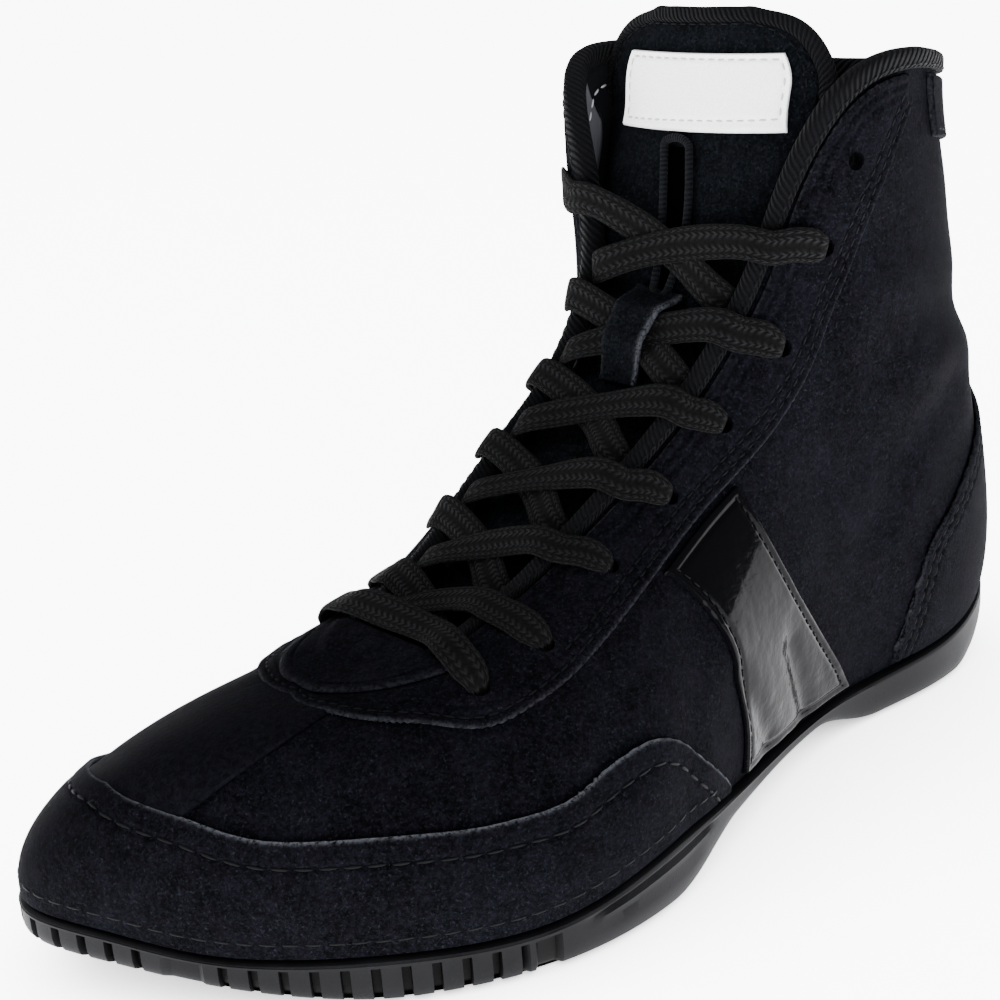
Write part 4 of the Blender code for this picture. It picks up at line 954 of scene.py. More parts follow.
def ribbed(name, base, tip, along_count, round_count, slant, depth, roughness=0.9, chevron=False):
    """Woven tape or braid, dull and soft: slanting ribs on the UV map, along_count of them in its
    length, with the fibres' fluff over them. Its crests are painted in the tip colour and its grooves in the
    base colour, a painted highlight and shade. Chevrons turn the slant over from column to column."""
    material = start_material(name, base, roughness, {"Specular IOR Level": 0.05, "Sheen Weight": 0.01})
    on_tape = add_node(material, "UVMap", {"uv_map": "surface"})
    split = add_node(material, "SeparateXYZ", {}, {"Vector": on_tape})
    across = split.outputs["Y"]
    if chevron:
        across = add_node(material, "Math", {"operation": "PINGPONG", 1: 0.5 / round_count}, {0: across})
    lean = add_node(material, "Math", {"operation": "MULTIPLY", 1: slant * round_count}, {0: across})
    summed = add_node(material, "Math", {"operation": "MULTIPLY_ADD", 1: float(along_count)},
                      {0: split.outputs["X"], 2: lean})
    turns = add_node(material, "Math", {"operation": "MULTIPLY", 1: 2 * math.pi}, {0: summed})
    wave = add_node(material, "Math", {"operation": "SINE"}, {0: turns})
    height = add_node(material, "MapRange", {"From Min": -1.0, "From Max": 1.0}, {"Value": wave})
    if chevron:
        column = add_node(material, "Math", {"operation": "MULTIPLY", 1: 2 * math.pi * round_count},
                          {0: split.outputs["Y"]})
        valley = add_node(material, "Math", {"operation": "COSINE"}, {0: column})
        ridge = add_node(material, "MapRange", {"From Min": 1.0, "From Max": -0.4}, {"Value": valley})
        height = add_node(material, "Math", {"operation": "MULTIPLY"}, {0: height, 1: ridge})
    spot = add_node(material, "TexCoord").outputs["Object"]
    fibre = add_node(material, "TexNoise", {"Scale": 1 / (0.3 * MM), "Detail": 3.0, "Roughness": 0.6},
                     {"Vector": spot})
    # The ribs' colour follows their height, base in the grooves and tip on the crests: a painted shade and
    # highlight over the bumps.
    rib_painted_light = add_node(material, "ValToRGB", {"stops": ((0.1, base), (0.9, tip))}, {"Fac": height})
    fluff = add_node(material, "ValToRGB", {"stops": ((0.4, base), (0.8, tip))}, {"Fac": fibre})
    feed(material, "Base Color", add_node(material, "Mix", {"data_type": "RGBA", 0: 0.35},
                                          {6: rib_painted_light, 7: fluff}).outputs[2])
    ribs = add_node(material, "Bump", {"Distance": depth * MM}, {"Height": height})
    feed(material, "Normal", add_node(material, "Bump", {"Distance": 0.06 * MM},
                                      {"Height": fibre, "Normal": ribs}))
    return material


# Black cotton twill: slanting ribs in fine lines, their crests painted a little lighter as a painted highlight
TAPE = ribbed("binding_twill", "#010102", "#08090b", 400, 9, 1.0, 0.6)


def binding_profile(v):
    """Outward reach past the edge and lift from the wall, round the folded tape."""
    face = BINDING_GAP + BINDING_WALL
    leg = [(-BINDING_DEPTH, -0.3), (-BINDING_DEPTH - 0.15, face * 0.55), (-BINDING_DEPTH + 0.1, face * 0.92),
           (-BINDING_DEPTH + 0.7, face), (-1.5, face + 0.05), (-0.2, face), (0.6, face * 0.78),
           (1.05, face * 0.3)]
    inner_leg = [(reach, -WALL - lift) for reach, lift in reversed(leg)]
    table = np.array(leg + [(CLEARANCE + BINDING_WALL, -WALL / 2)] + inner_leg + leg[:1])
    at = v * (len(table) - 1)
    rows = np.arange(len(table))
    return np.interp(at, rows, table[:, 0]), np.interp(at, rows, table[:, 1])


def by_top_line(station, reach, lift):
    """Points near the top line: reach is outwards past the edge, or down the wall where negative."""
    station, reach, lift = places(station, reach, lift)
    where, rise = from_top_line(station, np.maximum(-reach, 0.0))
    along, upward = wall_slopes(station, 1.0)
    normal = unit(np.cross(along, upward))
    outward = unit(np.cross(normal, along))
    outward *= np.sign(dot(outward, upward))[:, None]
    return on_form(where, rise, lift) + outward * np.maximum(reach, 0.0)[:, None]


def binding_place(u, v):
    reach, lift = binding_profile(1.0 - v)
    return by_top_line(u * ROUND, reach, lift), {}


finished(bent_grid("collar_binding", 560, 34, binding_place, closed=True), TAPE,
         ("collar_binding",), 80.0)
line = np.linspace(0.0, ROUND, 1400)
shape = bmesh.new()
stitch_row(shape, by_top_line(line, -BINDING_DEPTH + 0.8, BINDING_GAP + BINDING_WALL + 0.02),
           wall_normal(line, 1.0), 2.9, 2.2, 0.45, 0.4)
seam_piece("collar_binding_stitches", shape, THREAD)


# Throat patch: a small suede piece sewn over the lower end of the throat, under the first lace. It
# lies on the eyestay, rises over the binding and closes the narrow end of the opening.
PATCH_HALF, PATCH_SETBACK, PATCH_LIFT, PATCH_OVER = 2.25, 13.0, 2.0, 2.7
PATCH_SPLIT, PATCH_SEAM = 0.55, 0.1


def patch_reach(station):
    """How far the patch reaches down from the top line, less on the inner side."""
    return PATCH_SETBACK * (1.0 - 0.25 * np.maximum(-station, 0.0) / PATCH_HALF)


def patch_place(u, v):
    station = PATCH_HALF * (1.0 - 2.0 * u)
    share = np.clip(v / PATCH_SPLIT, 0.0, 1.0)
    where, rise = from_top_line(station, patch_reach(station) * (1.0 - share))
    rounded = np.sqrt(np.clip(1.0 - (1.0 - np.clip(v / 0.05, 0.0, 1.0)) ** 2, 0.0, 1.0))
    lift = (PATCH_LIFT - 0.5) + 0.5 * rounded + (PATCH_OVER - PATCH_LIFT) * smooth((share - 0.5) / 0.3)
    lift = lift - 0.3 * np.exp(-((v - PATCH_SEAM) / 0.02) ** 2)
    points = on_form(where, rise, lift)
    other = wall(-station, 1.0) + wall_normal(-station, 1.0) * PATCH_OVER
    here = wall(station, 1.0) + wall_normal(station, 1.0) * PATCH_OVER
    inner = np.clip((v - PATCH_SPLIT) / (1.0 - PATCH_SPLIT), 0.0, 1.0)[:, None]
    points = points + ((here + other) / 2 - here) * inner
    return points, {"edge": 0.05 * np.exp(-(v / 0.03) ** 2)}


patch = finished(bent_grid("throat_patch", 120, 60, patch_place, closed=True), SUEDE)
thickened(patch, 0.8)
line = np.linspace(-PATCH_HALF * 0.97, PATCH_HALF * 0.97, 240)
where, rise = from_top_line(line, patch_reach(line) * (1.0 - PATCH_SEAM / PATCH_SPLIT))
shape = bmesh.new()
stitch_row(shape, on_form(where, rise, PATCH_LIFT - 0.15), wall_normal(where, rise), 2.9, 2.3, 0.5, 0.45)
seam_piece("throat_patch_stitches", shape, THREAD)


# Collar facing: a strip of grey synthetic suede inside the collar of the inner side, where the hand
# pulls the shoe on. It is sewn to the lining with one row of white stitches.
FACING_START, FACING_LENGTH, FACING_TOP, FACING_DEPTH = 17.6, 3.0, 3.0, 10.0
FACING_SEAM, FACING_SEAM_START, FACING_SEAM_END = 8.5, 13.7, 17.5
FACING_LIFT = -WALL - LINING_THICKNESS - 0.75
# Synthetic suede in pale grey: the lightest thing inside the shoe, quite dull
FACING = textured("facing_grey", "#47484c", 0.8, {}, 0.5, 3.0, 0.08)
# White thread, a little grey with use
PALE_THREAD = start_material("polyester_thread_pale", "#9fa0a4", 0.7)


def facing_place(u, v):
    where, rise = from_top_line(FACING_START - FACING_LENGTH * u, FACING_TOP + FACING_DEPTH * (1.0 - v))
    return on_form(where, rise, FACING_LIFT), {}


facing = finished(bent_grid("collar_facing", 80, 14, facing_place), FACING)
thickened(facing, 0.4)
where, rise = from_top_line(np.linspace(FACING_SEAM_START, FACING_SEAM_END, 300), FACING_SEAM)
shape = bmesh.new()
stitch_row(shape, on_form(where, rise, FACING_LIFT - 0.05), -wall_normal(where, rise), 3.2, 2.4, 0.6, 0.5)
seam_piece("collar_facing_stitches", shape, PALE_THREAD)


# Tongue: a padded leaf of suede, sewn in at the foot of the throat, which lies under both flaps and
# stands above the collar.
TONGUE_STATIONS = (1.3, 2.6, 3.9, 5.2, 6.4, 7.4, 8.2)
TONGUE_HEIGHT, TONGUE_HALF_WIDTH, TONGUE_THICKNESS = 169.0, 30.0, 2.6
TONGUE_TUCK, TONGUE_DEPTH, TONGUE_CROWN = 13.0, 5.2, 2.0
TONGUE_ASIDE = 4.6
# The free top: height, place along the last, half width and how far the sides lie back
TONGUE_TOP_ROWS = ((0.860, 0.332, 1.04, 0.30), (0.930, 0.321, 1.04, 0.26),
                   (0.980, 0.313, 0.84, 0.18), (1.000, 0.308, 0.46, 0.06))


def open_line(points, share):
    """Smooth open curves: points is (count, curves or 1, 3), and each share takes its own curve."""
    count = len(points)
    system = 4.0 * np.eye(count) + np.eye(count, k=1) + np.eye(count, k=-1)
    system[0, 0] = 2.0
    system[-1, -1] = 2.0
    change = np.empty_like(points)
    change[1:-1] = 3.0 * (points[2:] - points[:-2])
    change[0] = 3.0 * (points[1] - points[0])
    change[-1] = 3.0 * (points[-1] - points[-2])
    slopes = np.linalg.solve(system, change.reshape(count, -1)).reshape(points.shape)
    at = share * (count - 1)
    first = np.clip(at.astype(int), 0, count - 2)
    curve = np.arange(len(share)) if points.shape[1] > 1 else np.zeros(len(share), int)
    return hermite(points[first, curve], points[first + 1, curve], slopes[first, curve],
                   slopes[first + 1, curve], (at - first)[:, None])


def beside_edge(station, setback, lift):
    """Point on the wall's own surface carried on past the top line."""
    where, rise = from_top_line(station, setback)
    return (wall(where, rise) + wall_normal(where, rise) * lift)[0]


def tongue_controls():
    rows = []
    for station in TONGUE_STATIONS:
        sides = (station, ROUND - station)
        tucks = [beside_edge(side, TONGUE_TUCK, -TONGUE_DEPTH) for side in sides]
        edges = [beside_edge(side, 0.0, -TONGUE_DEPTH) for side in sides]
        normal = unit(wall_normal(sides[0], 1.0) + wall_normal(sides[1], 1.0))[0]
        middle = (edges[0] + edges[1]) / 2 + normal * TONGUE_CROWN
        rows.append([tucks[0], edges[0], middle, edges[1], tucks[1]])
    for height, along, half_width, setback in TONGUE_TOP_ROWS:
        centre = np.array([along * LAST_LENGTH, -TONGUE_ASIDE, height * TONGUE_HEIGHT])
        rows.append([centre + np.array([-setback * behind, half_width * reach, 0.0]) * TONGUE_HALF_WIDTH
                     for reach, behind in ((1.0, 1.0), (0.6, 0.3), (0.0, 0.0), (-0.6, 0.3), (-1.0, 1.0))])
    return np.array(rows)


TONGUE = tongue_controls()


def tongue_point(run, across):
    """Run goes from 0 at the throat to 1 at the top edge, across from 1 lateral to -1 medial."""
    run, across = places(run, across)
    columns = np.stack([open_line(TONGUE[:, k:k + 1], run) for k in range(5)])
    if len(run) == 1:
        columns = np.repeat(columns, 2, axis=1)
        return open_line(columns, np.repeat((1.0 - across) / 2, 2))[:1]
    return open_line(columns, (1.0 - across) / 2)


def tongue_normal(run, across, step=0.01):
    run, across = places(run, across)
    above, below = np.minimum(run + step, 1.0), np.maximum(run - step, 0.0)
    outer, inner = np.minimum(across + step, 1.0), np.maximum(across - step, -1.0)
    ahead = tongue_point(above, across) - tongue_point(below, across)
    left = tongue_point(run, outer) - tongue_point(run, inner)
    return unit(np.cross(left, ahead))


def on_tongue(run, across, lift=0.0):
    run, across, lift = places(run, across, lift)
    return tongue_point(run, across) + tongue_normal(run, across) * lift[:, None]


def tongue_run_at(height, across=0.0):
    """Run of the tongue's surface at a height above the floor."""
    runs = np.linspace(0.0, 1.0, 801)
    return float(np.interp(height, tongue_point(runs, across)[:, 2], runs))


# The tongue's suede is a little greener than the upper's
TONGUE_SUEDE = suede("tongue_suede", "#010202", "#0a0d10", "#0b0b0f")


def tongue_place(u, v):
    swell = 0.35 * np.sin(9.0 * v + 1.3) * np.sin(math.pi * u)
    groove = 0.5 * np.exp(-((u - 0.5) / 0.06) ** 2) * (v < 0.7)
    return on_tongue(v, 2 * u - 1, (swell - groove) * 0.6), {"edge": np.zeros(len(u))}


tongue = overlay(bent_grid("tongue", 90, 150, tongue_place), TONGUE_SUEDE, TONGUE_THICKNESS)


def swept(name, path, normals, width, thickness, around, closed=False, squareness=1.0, twist=None):
    """Band of rounded section along a path, flat side to the normals. width may vary along it."""
    count = len(path)
    if closed:
        ahead = np.roll(path, -1, 0) - np.roll(path, 1, 0)
    else:
        ahead = np.gradient(path, axis=0)
    sideways = unit(np.cross(normals, ahead))
    upright = unit(np.cross(ahead, sideways))
    width = np.broadcast_to(width, (count,))
    thickness = np.broadcast_to(thickness, (count,))

    def place(u, v):
        at = u * (count if closed else count - 1)
        first = np.minimum(at.astype(int), count - 1)
        share = (at - first)[:, None]
        second = (first + 1) % count if closed else np.minimum(first + 1, count - 1)
        first = first % count
        angle = -2 * math.pi * v
        cos, sin = np.cos(angle), np.sin(angle)
        flat = np.sign(cos) * np.abs(cos) ** squareness
        high = np.sign(sin) * np.abs(sin) ** squareness

        def blend(values):
            part = share.reshape(-1, *[1] * (values.ndim - 1))
            return values[first] * (1 - part) + values[second] * part

        half = blend(width) / 2
        tall = blend(thickness) / 2
        side = unit(blend(sideways))
        up = unit(blend(upright))
        if twist is not None:
            lean = blend(twist)[:, None]
            side, up = side * np.cos(lean) + up * np.sin(lean), up * np.cos(lean) - side * np.sin(lean)
        return blend(path) + side * (flat * half)[:, None] + up * (high * tall)[:, None], {}

    return bent_grid(name, (count if closed else count - 1), around, place, closed=True)


def resampled(path, normals, count):
    reach = path_reach(path)
    at = np.linspace(0.0, reach[-1], count)
    return path_at(at, reach, path), unit(path_at(at, reach, normals)), reach[-1]


def softened(values):
    """The inner rows of a list, each drawn towards its neighbours."""
    return (values[:-2] + 2 * values[1:-1] + values[2:]) / 4


def rounded_ends(count, length, size, over):
    """Share of full size along a band whose ends close to a point over a short length."""
    away = np.minimum(np.linspace(0, length, count), np.linspace(length, 0, count))
    return size * np.sqrt(np.clip(1.0 - (1.0 - np.clip(away / over, 0.0, 1.0)) ** 2, 0.0, 1.0))


# Tongue binding: the same twill tape, folded round the free top of the tongue from one side to the
# other and held by a row of stitches.
TAPE_WIDTH, TAPE_THICKNESS, TAPE_GAP, TAPE_START = 4.2, 3.6, 0.6, 0.9
start = tongue_run_at(TAPE_START * TONGUE_HEIGHT, 1.0)
side_run = np.linspace(start, 0.99, 60)
run = np.concatenate([side_run, np.ones(80), side_run[::-1]])
across = np.concatenate([np.ones(60), np.linspace(1.0, -1.0, 80), -np.ones(60)])
edge = on_tongue(run, across, -TONGUE_THICKNESS / 2)
normals = tongue_normal(run, across)
ahead = np.gradient(edge, axis=0)
outward = unit(np.cross(ahead, normals))
outward *= np.where(dot(outward, edge - on_tongue(start, 0.0)) < 0, -1.0, 1.0)[:, None]
path, normals, length = resampled(edge + outward * (TAPE_WIDTH / 2 + TAPE_GAP - 0.7), normals, 200)
for _ in range(6):
    path[1:-1] = softened(path)
# The same twill, with fewer ribs for its shorter length
TONGUE_TAPE = ribbed("tongue_twill", "#010102", "#08090b", 70, 9, 1.0, 0.6)
finished(swept("tongue_binding", path, normals, rounded_ends(200, length, TAPE_WIDTH, 1.5),
               rounded_ends(200, length, TAPE_THICKNESS, 1.5), 24, False, 0.7),
         TONGUE_TAPE, ("tongue_binding",), 80.0)
shape = bmesh.new()
stitch_row(shape, on_tongue(np.minimum(run, 0.985), across * 0.9, 0.1), tongue_normal(run, across * 0.9),
           2.9, 2.2, 0.45, 0.4)
seam_piece("tongue_binding_stitches", shape, THREAD)


# Label: a bare patch of white woven cloth near the top of the tongue, sewn on round its border with
# grey thread.
LABEL_WIDTH, LABEL_HEIGHT, LABEL_THICKNESS, LABEL_GAP = 40.0, 17.0, 0.8, 0.7
LABEL_TO_TOP, LABEL_ASIDE, LABEL_SEAM = 6.5, -0.12, 1.7
label_top = TONGUE_HEIGHT - LABEL_TO_TOP
label_foot = label_top - LABEL_HEIGHT
# White cotton cloth: by far the lightest thing on the shoe, with a weave that just shows
LABEL = textured("white_patch_fabric", "#f2f2f0", 0.85, {}, 0.35, 2.0, 0.08,
                 ((0.3, "#e2e2e0"), (0.7, "#fbfbfa")))
# Thread a little darker than the cloth, so that the border shows
LABEL_THREAD = start_material("patch_thread_grey", "#a9a6a8", 0.7)
low_run, high_run = tongue_run_at(label_foot), tongue_run_at(label_top)
label_reach = LABEL_WIDTH / 2 / TONGUE_HALF_WIDTH


def label_spot(u, v):
    """Run and share across the tongue at a place on the label."""
    return low_run + (high_run - low_run) * v, label_reach * (2 * u - 1) - LABEL_ASIDE


def label_place(u, v):
    away = np.minimum(np.minimum(u, 1 - u) * LABEL_WIDTH, np.minimum(v, 1 - v) * LABEL_HEIGHT)
    seam = 0.3 * np.exp(-((away - 1.6) / 0.5) ** 2)
    rounded = 0.5 * (1 - np.clip(away / 0.4, 0, 1)) ** 2
    return on_tongue(*label_spot(u, v), LABEL_GAP + LABEL_THICKNESS - seam - rounded), {}


overlay(bent_grid("tongue_label", 112, 46, label_place), LABEL, LABEL_THICKNESS)
inset_x, inset_y = LABEL_SEAM / LABEL_WIDTH, LABEL_SEAM / LABEL_HEIGHT
corners = np.array([(inset_x, inset_y), (1 - inset_x, inset_y), (1 - inset_x, 1 - inset_y),
                    (inset_x, 1 - inset_y)])
shape = bmesh.new()
for first, last in zip(corners, np.roll(corners, -1, 0)):
    spots = (first + (last - first) * np.linspace(0.0, 1.0, 60)[:, None]).T
    points, marks = label_place(*spots)
    normals = tongue_normal(*label_spot(*spots))
    stitch_row(shape, points + normals * 0.02, normals, 2.6, 1.9, 0.55, 0.5)
seam_piece("tongue_label_stitches", shape, LABEL_THREAD)


# Lace pocket: a slit in the front of the tongue, edged with a raised welt of close thread with a painted
# sheen.
# It narrows downwards, and a black sheet in it stands for the shade inside.
POCKET_TO_LABEL, POCKET_LENGTH, POCKET_WIDTH, WELT_DIAMETER = 3.5, 30.0, 5.2, 1.9
pocket_top = label_foot - POCKET_TO_LABEL
high_run, low_run = tongue_run_at(pocket_top), tongue_run_at(pocket_top - POCKET_LENGTH)
half = POCKET_WIDTH / 2 / TONGUE_HALF_WIDTH
turn = np.linspace(0.0, math.pi, 24)[1:-1]
run = np.concatenate([np.linspace(low_run, high_run, 40), high_run + 0.012 * np.sin(turn),
                      np.linspace(high_run, low_run, 40), low_run - 0.012 * np.sin(turn)])
taper = np.linspace(0.55, 1.0, 40)
across = half * np.concatenate([taper, np.cos(turn), -taper[::-1], -0.55 * np.cos(turn)])
welt_lift = CLEARANCE + 0.1 + WELT_DIAMETER / 2
path = on_tongue(run, across, welt_lift)
# Close satin stitches, a little less rough than the suede round them, their crests painted lighter as a
# painted sheen
WELT = ribbed("welt_thread", "#020304", "#0e1013", 90, 2, 0.6, 0.3)
welt = swept("tongue_pocket_welt", path, tongue_normal(run, across), WELT_DIAMETER, WELT_DIAMETER, 14, True)
finished(welt, WELT, ("tongue_pocket_welt",), 80.0)
# A black sheet laid in the slit paints the shade inside the pocket; it gives back no light
POCKET_PAINTED_SHADE = start_material("pocket_painted_shade", "#010101", 1.0, {"Specular IOR Level": 0.0})


def slit_place(u, v):
    reach = half * (0.5 + 0.45 * v)
    return on_tongue(low_run + (high_run - low_run) * v, reach * (2 * u - 1), CLEARANCE), {}


slit = finished(bent_grid("tongue_pocket_slit", 8, 30, slit_place), POCKET_PAINTED_SHADE)
thickened(slit, 0.3)


# Laces: one flat braided cotton lace. It crosses the lowest holes as a bar, then each end goes up
# through an eyelet, over the flap and the binding, across the throat and under the other flap. The
# strand from the outer side lies on top. The ends stop inside, behind the highest eyelets.
LACED_ROWS = 7
LACE_WIDTH, LACE_THICKNESS, LACE_GAP, LACE_CROWN = 8.0, 1.3, 0.5, 1.4
LACE_BAR_LIFT, LACE_EDGE, LACE_OVERHANG, LACE_STACK = 1.8, 0.78, 2.0, 0.8
LACE_TAIL, LACE_TAIL_GAP, LACE_TAIL_DROP = 0.10, 5.0, 0.3
LACE_POINTS = 170
# Held straight for a length at each eyelet and gathered in it; passes that ease the path between
LACE_HELD, LACE_GATHERED, LACE_PINCH, LACE_EASING = 6.5, 7.5, 4.0, 70
# Braided cotton, black washed to charcoal: flat columns of small chevrons, a little lighter than
# the suede, with a painted highlight on their crests and painted shade in their grooves and between the
# columns. There are 40 chevrons in a strand, fewer than in the real one, so that they show.
LACE = ribbed("lace_cotton_braid", "#010101", "#171718", 40, 12, 1.3, 0.6, 0.95, True)


def edge_of(low_row, high_row, share, side):
    """Station of the throat's edge between two rows, on the outer (1) or inner (-1) side."""
    low, high = EYELET_ROWS[low_row].edge, EYELET_ROWS[high_row].edge
    station = low + (high - low) * share
    return station if side > 0 else ROUND - station


def from_eyelet(row, side, station):
    """Controls from behind an eyelet up through it, over the flap and over the binding."""
    eyelet = EYELET_ROWS[row].lateral if side > 0 else EYELET_ROWS[row].medial
    rise = EYELET_ROWS[row].rise
    flap_lift = CLEARANCE + SUEDE_OVERLAY + LACE_GAP + LACE_THICKNESS / 2
    edge_lift = BINDING_GAP + BINDING_WALL + LACE_GAP + LACE_THICKNESS / 2
    normal = wall_normal(eyelet, rise)[0]
    flap_place = ((eyelet + station) / 2, (rise + 1.0) / 2)
    hole, flap = wall(eyelet, rise)[0], wall(*flap_place)[0]
    flap_normal = wall_normal(*flap_place)[0]
    over = unit(flap - hole)
    edge_normal = wall_normal(*from_top_line(station, BINDING_DEPTH))[0]
    return [(hole - normal * 4.5 - over * 0.3, unit(normal * 0.3 - over)),
            (hole - normal * 0.6, unit(normal * 0.3 - over)),
            (hole + normal * (flap_lift - 0.9) + over * 0.9, unit(normal - over * 0.8)),
            (hole + normal * flap_lift + over * 4.0, normal),
            (flap + flap_normal * (flap_lift + 0.3), flap_normal),
            (beside_edge(station, BINDING_DEPTH, edge_lift), edge_normal),
            (beside_edge(station, -LACE_OVERHANG, edge_lift), wall_normal(station, 1.0)[0])]


def lace_strand(name, controls, shifts, narrow_start, narrow_end, seed):
    """Flat lace along its controls; shifts lift it over or under the one it crosses."""
    points = np.array([point for point, normal in controls])
    normals = np.array([normal for point, normal in controls])
    share = np.linspace(0.0, 1.0, 400)
    rows = np.arange(len(points))
    path = open_line(points[:, None, :], share)
    facing = unit(path_at(share * rows[-1], rows, normals))
    lift = np.interp(share * rows[-1], rows, shifts)
    path = path + facing * lift[:, None]
    path, facing, length = resampled(path, facing, LACE_POINTS)
    run = np.linspace(0.0, length, LACE_POINTS)
    eased = path.copy()
    for _ in range(LACE_EASING):
        eased[1:-1] = softened(eased)
        facing[1:-1] = unit(softened(facing))
    held_end = LACE_HELD * (narrow_end > 0.5)
    free = smooth((run - LACE_HELD) / 4.0) * smooth((length - run - held_end) / 4.0)
    path = path + (eased - path) * free[:, None]
    for _ in range(4):
        path[1:-1] = softened(path)
    width = np.full(LACE_POINTS, LACE_WIDTH - 0.2)
    width = width - LACE_PINCH * narrow_start * np.exp(-(run / LACE_GATHERED) ** 4)
    width = width - LACE_PINCH * narrow_end * np.exp(-((length - run) / LACE_GATHERED) ** 4)
    width = width * (1.0 + 0.035 * np.sin(run / 5.3 + seed * 1.7))
    thickness = np.full(LACE_POINTS, LACE_THICKNESS) + 0.5 * narrow_start * np.exp(-(run / 7.0) ** 2)
    close = rounded_ends(LACE_POINTS, length, 1.0, 0.9)
    twist = 0.10 * np.sin(run / 9.0 + seed * 2.1) + 0.05 * np.sin(run / 4.1 + seed)
    return swept(name, path, facing, width * close, thickness * close, 22, False, 0.62, twist)


bar = from_eyelet(0, 1, EYELET_ROWS[0].edge) + from_eyelet(0, -1, ROUND - EYELET_ROWS[0].edge)[::-1]
bar_lift = [0.0, 0.0, 0.0, 0.8] + [LACE_BAR_LIFT] * 6 + [0.8, 0.0, 0.0, 0.0]
finished(lace_strand("lace_bar_1", bar, bar_lift, 1.0, 1.0, 0.0), LACE, ("lace_bar_1",), 80.0)
for number in range(2, LACED_ROWS + 1):
    low, high = number - 2, number - 1
    left, right = edge_of(low, high, 0.5, 1), edge_of(low, high, 0.5, -1)
    upward = unit(wall_normal(left, 1.0) + wall_normal(right, 1.0))[0]
    middle = (wall(left, 1.0)[0] + wall(right, 1.0)[0]) / 2 + upward * LACE_CROWN
    for side, strand_name in ((1, "outer"), (-1, "inner")):
        tail_station = edge_of(low, high, LACE_TAIL, -side)
        tail = beside_edge(tail_station, -LACE_TAIL_GAP, -LACE_TAIL_DROP)
        tuck = beside_edge(tail_station, 3.0, -TONGUE_DEPTH + 1.7)
        tail_normal = wall_normal(tail_station, 1.0)[0]
        controls = from_eyelet(high, side, edge_of(low, high, LACE_EDGE, side))
        controls += [(middle, upward), (tail, unit(upward + tail_normal)), (tuck, tail_normal)]
        shifts = [0.0] * 6 + [0.3 * side, LACE_STACK * side, 0.0, 0.0]
        strand = "lace_cross_%d_%s" % (number, strand_name)
        mesh = lace_strand(strand, controls, shifts, 1.0, 0.3, number + side * 0.4)
        finished(mesh, LACE, (), 80.0)
    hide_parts("lace_cross_%d" % number)


# Lace keeper: a small tab of the tongue's suede, sewn down at both ends, that a crossing of the lace
# passes under. One of its cut edges shows pale.
KEEPER_WIDTH, KEEPER_THICKNESS, KEEPER_RISE = 9.0, 1.2, 6.0
keeper_low = tongue_run_at(wall(edge_of(3, 4, 0.9, 1), 1.0)[0, 2])
keeper_high = tongue_run_at(wall(edge_of(5, 6, 0.1, 1), 1.0)[0, 2])
keeper_reach = KEEPER_WIDTH / 2 / TONGUE_HALF_WIDTH


def keeper_place(u, v):
    hump = KEEPER_RISE * (smooth(v / 0.4) * smooth((1.0 - v) / 0.3)) ** 0.8
    lift = CLEARANCE + 0.1 + hump + KEEPER_THICKNESS
    edge = np.minimum(u, 1.0 - u) * KEEPER_WIDTH
    return (on_tongue(keeper_low + (keeper_high - keeper_low) * v, keeper_reach * (2 * u - 1), lift),
            {"edge": (0.05 + 0.3 * (u > 0.5)) * np.exp(-(edge / 0.6) ** 2)})


overlay(bent_grid("lace_keeper", 26, 60, keeper_place), TONGUE_SUEDE, KEEPER_THICKNESS)


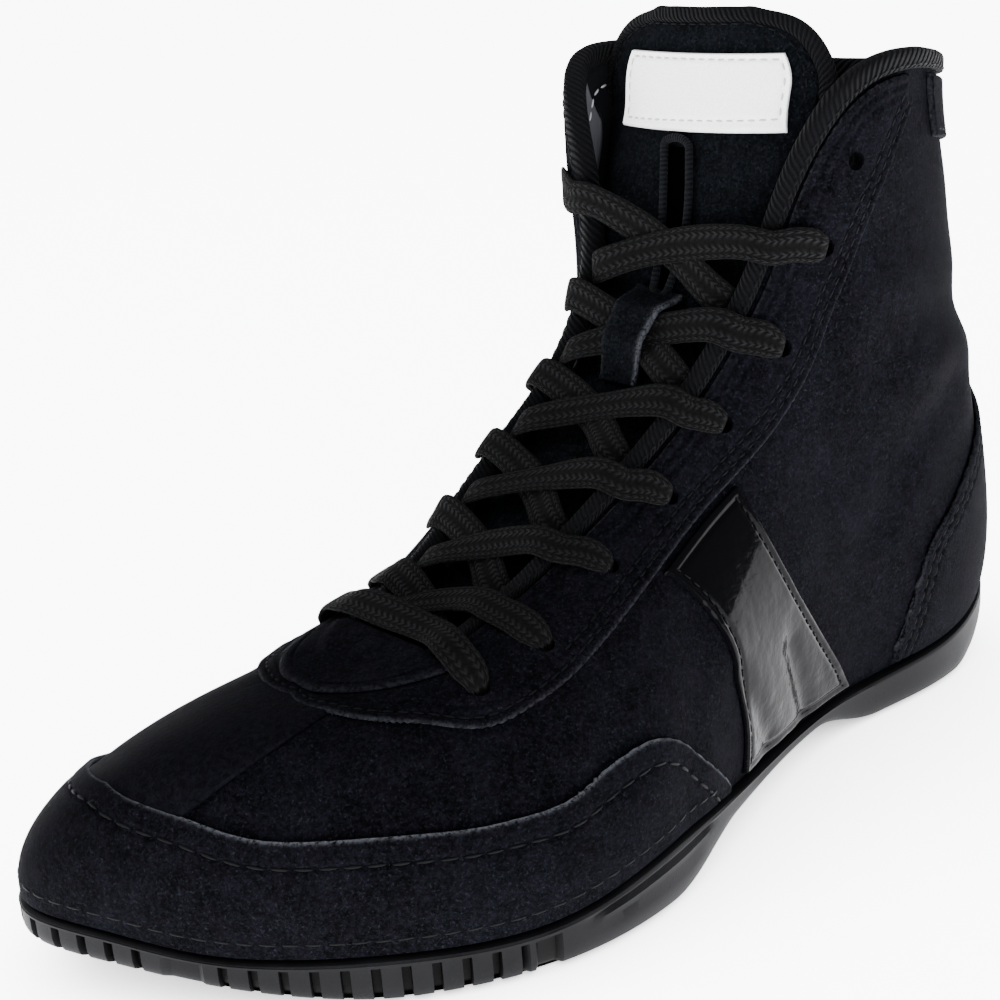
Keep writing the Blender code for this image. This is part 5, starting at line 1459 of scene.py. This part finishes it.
# Studio: a plain pale floor that fills the view and glows, with a painted soft shadow where the shoe
# stands close over it, one large soft light high on the inner side, and a weaker one on the outer side.
camera_data = bpy.data.cameras.new("camera")
camera = added("camera", camera_data)
bpy.context.scene.camera = camera
CAMERA_AT = (405.59, 290.95, 206.87)
YAW, PITCH, ROLL, FOCAL, SHIFT = -130.751, 18.518, -4.789, 1881.0, -0.006
yaw, pitch, roll = math.radians(YAW), math.radians(PITCH), math.radians(ROLL)
forward = Vector((math.cos(yaw) * math.cos(pitch), math.sin(yaw) * math.cos(pitch), -math.sin(pitch)))
flat_right = forward.cross(Vector((0.0, 0.0, 1.0))).normalized()
flat_up = flat_right.cross(forward)
right = flat_right * math.cos(roll) + flat_up * math.sin(roll)
over = flat_up * math.cos(roll) - flat_right * math.sin(roll)
camera.matrix_world = Matrix.Translation(Vector(np.array(CAMERA_AT) + STAND) * MM) @ Matrix(
    (right, over, -forward)).transposed().to_4x4()
camera_data.sensor_width = 36.0
camera_data.lens = 36.0 * FOCAL / 1000.0
camera_data.shift_y = SHIFT
camera_data.clip_start = 0.01

# A bright, matt sheet that glows and lights the shoe from below; its glow is dimmed where the air over it is
# less open, a painted contact shadow
FLOOR = start_material("studio_floor", "#f4f4f5", 0.8,
                       {"Specular IOR Level": 0.1, "Emission Color": "#fdfdff"})
contact_shadow_occlusion = add_node(FLOOR, "AmbientOcclusion", {"samples": 12, "Distance": 0.10})
glow_with_painted_shadow = add_node(FLOOR, "MapRange", {"From Min": 0.0, "From Max": 0.9, "To Min": 0.3, "To Max": 9.0},
                {"Value": contact_shadow_occlusion.outputs["AO"]})
feed(FLOOR, "Emission Strength", glow_with_painted_shadow)
shape = bmesh.new()
bmesh.ops.create_grid(shape, x_segments=1, y_segments=1, size=6.0)
mesh = mesh_of("studio_floor", shape)
mesh.materials.append(FLOOR)
floor = added("studio_floor", mesh)
floor.location = (0.0, 0.0, -0.0005)

world = bpy.data.worlds.new("studio")
bpy.context.scene.world = world
world.use_nodes = True
world.node_tree.nodes["Background"].inputs["Color"].default_value = linear("#f6f8ff")
world.node_tree.nodes["Background"].inputs["Strength"].default_value = 0.7


def area_light(name, place, target, size, power, colour):
    data = bpy.data.lights.new(name, "AREA")
    data.shape = "RECTANGLE"
    data.size, data.size_y = size
    data.energy = power
    data.color = linear(colour)[:3]
    lamp = added(name, data)
    lamp.location = place
    lamp.rotation_euler = (Vector(target) - Vector(place)).to_track_quat("-Z", "Y").to_euler()


area_light("key", (0.75, -0.55, 1.25), (0.0, 0.0, 0.05), (0.9, 0.7), 22.0, "#ffffff")
area_light("fill", (0.5, 1.1, 0.7), (0.0, 0.0, 0.08), (0.8, 0.8), 8.0, "#f3f6ff")
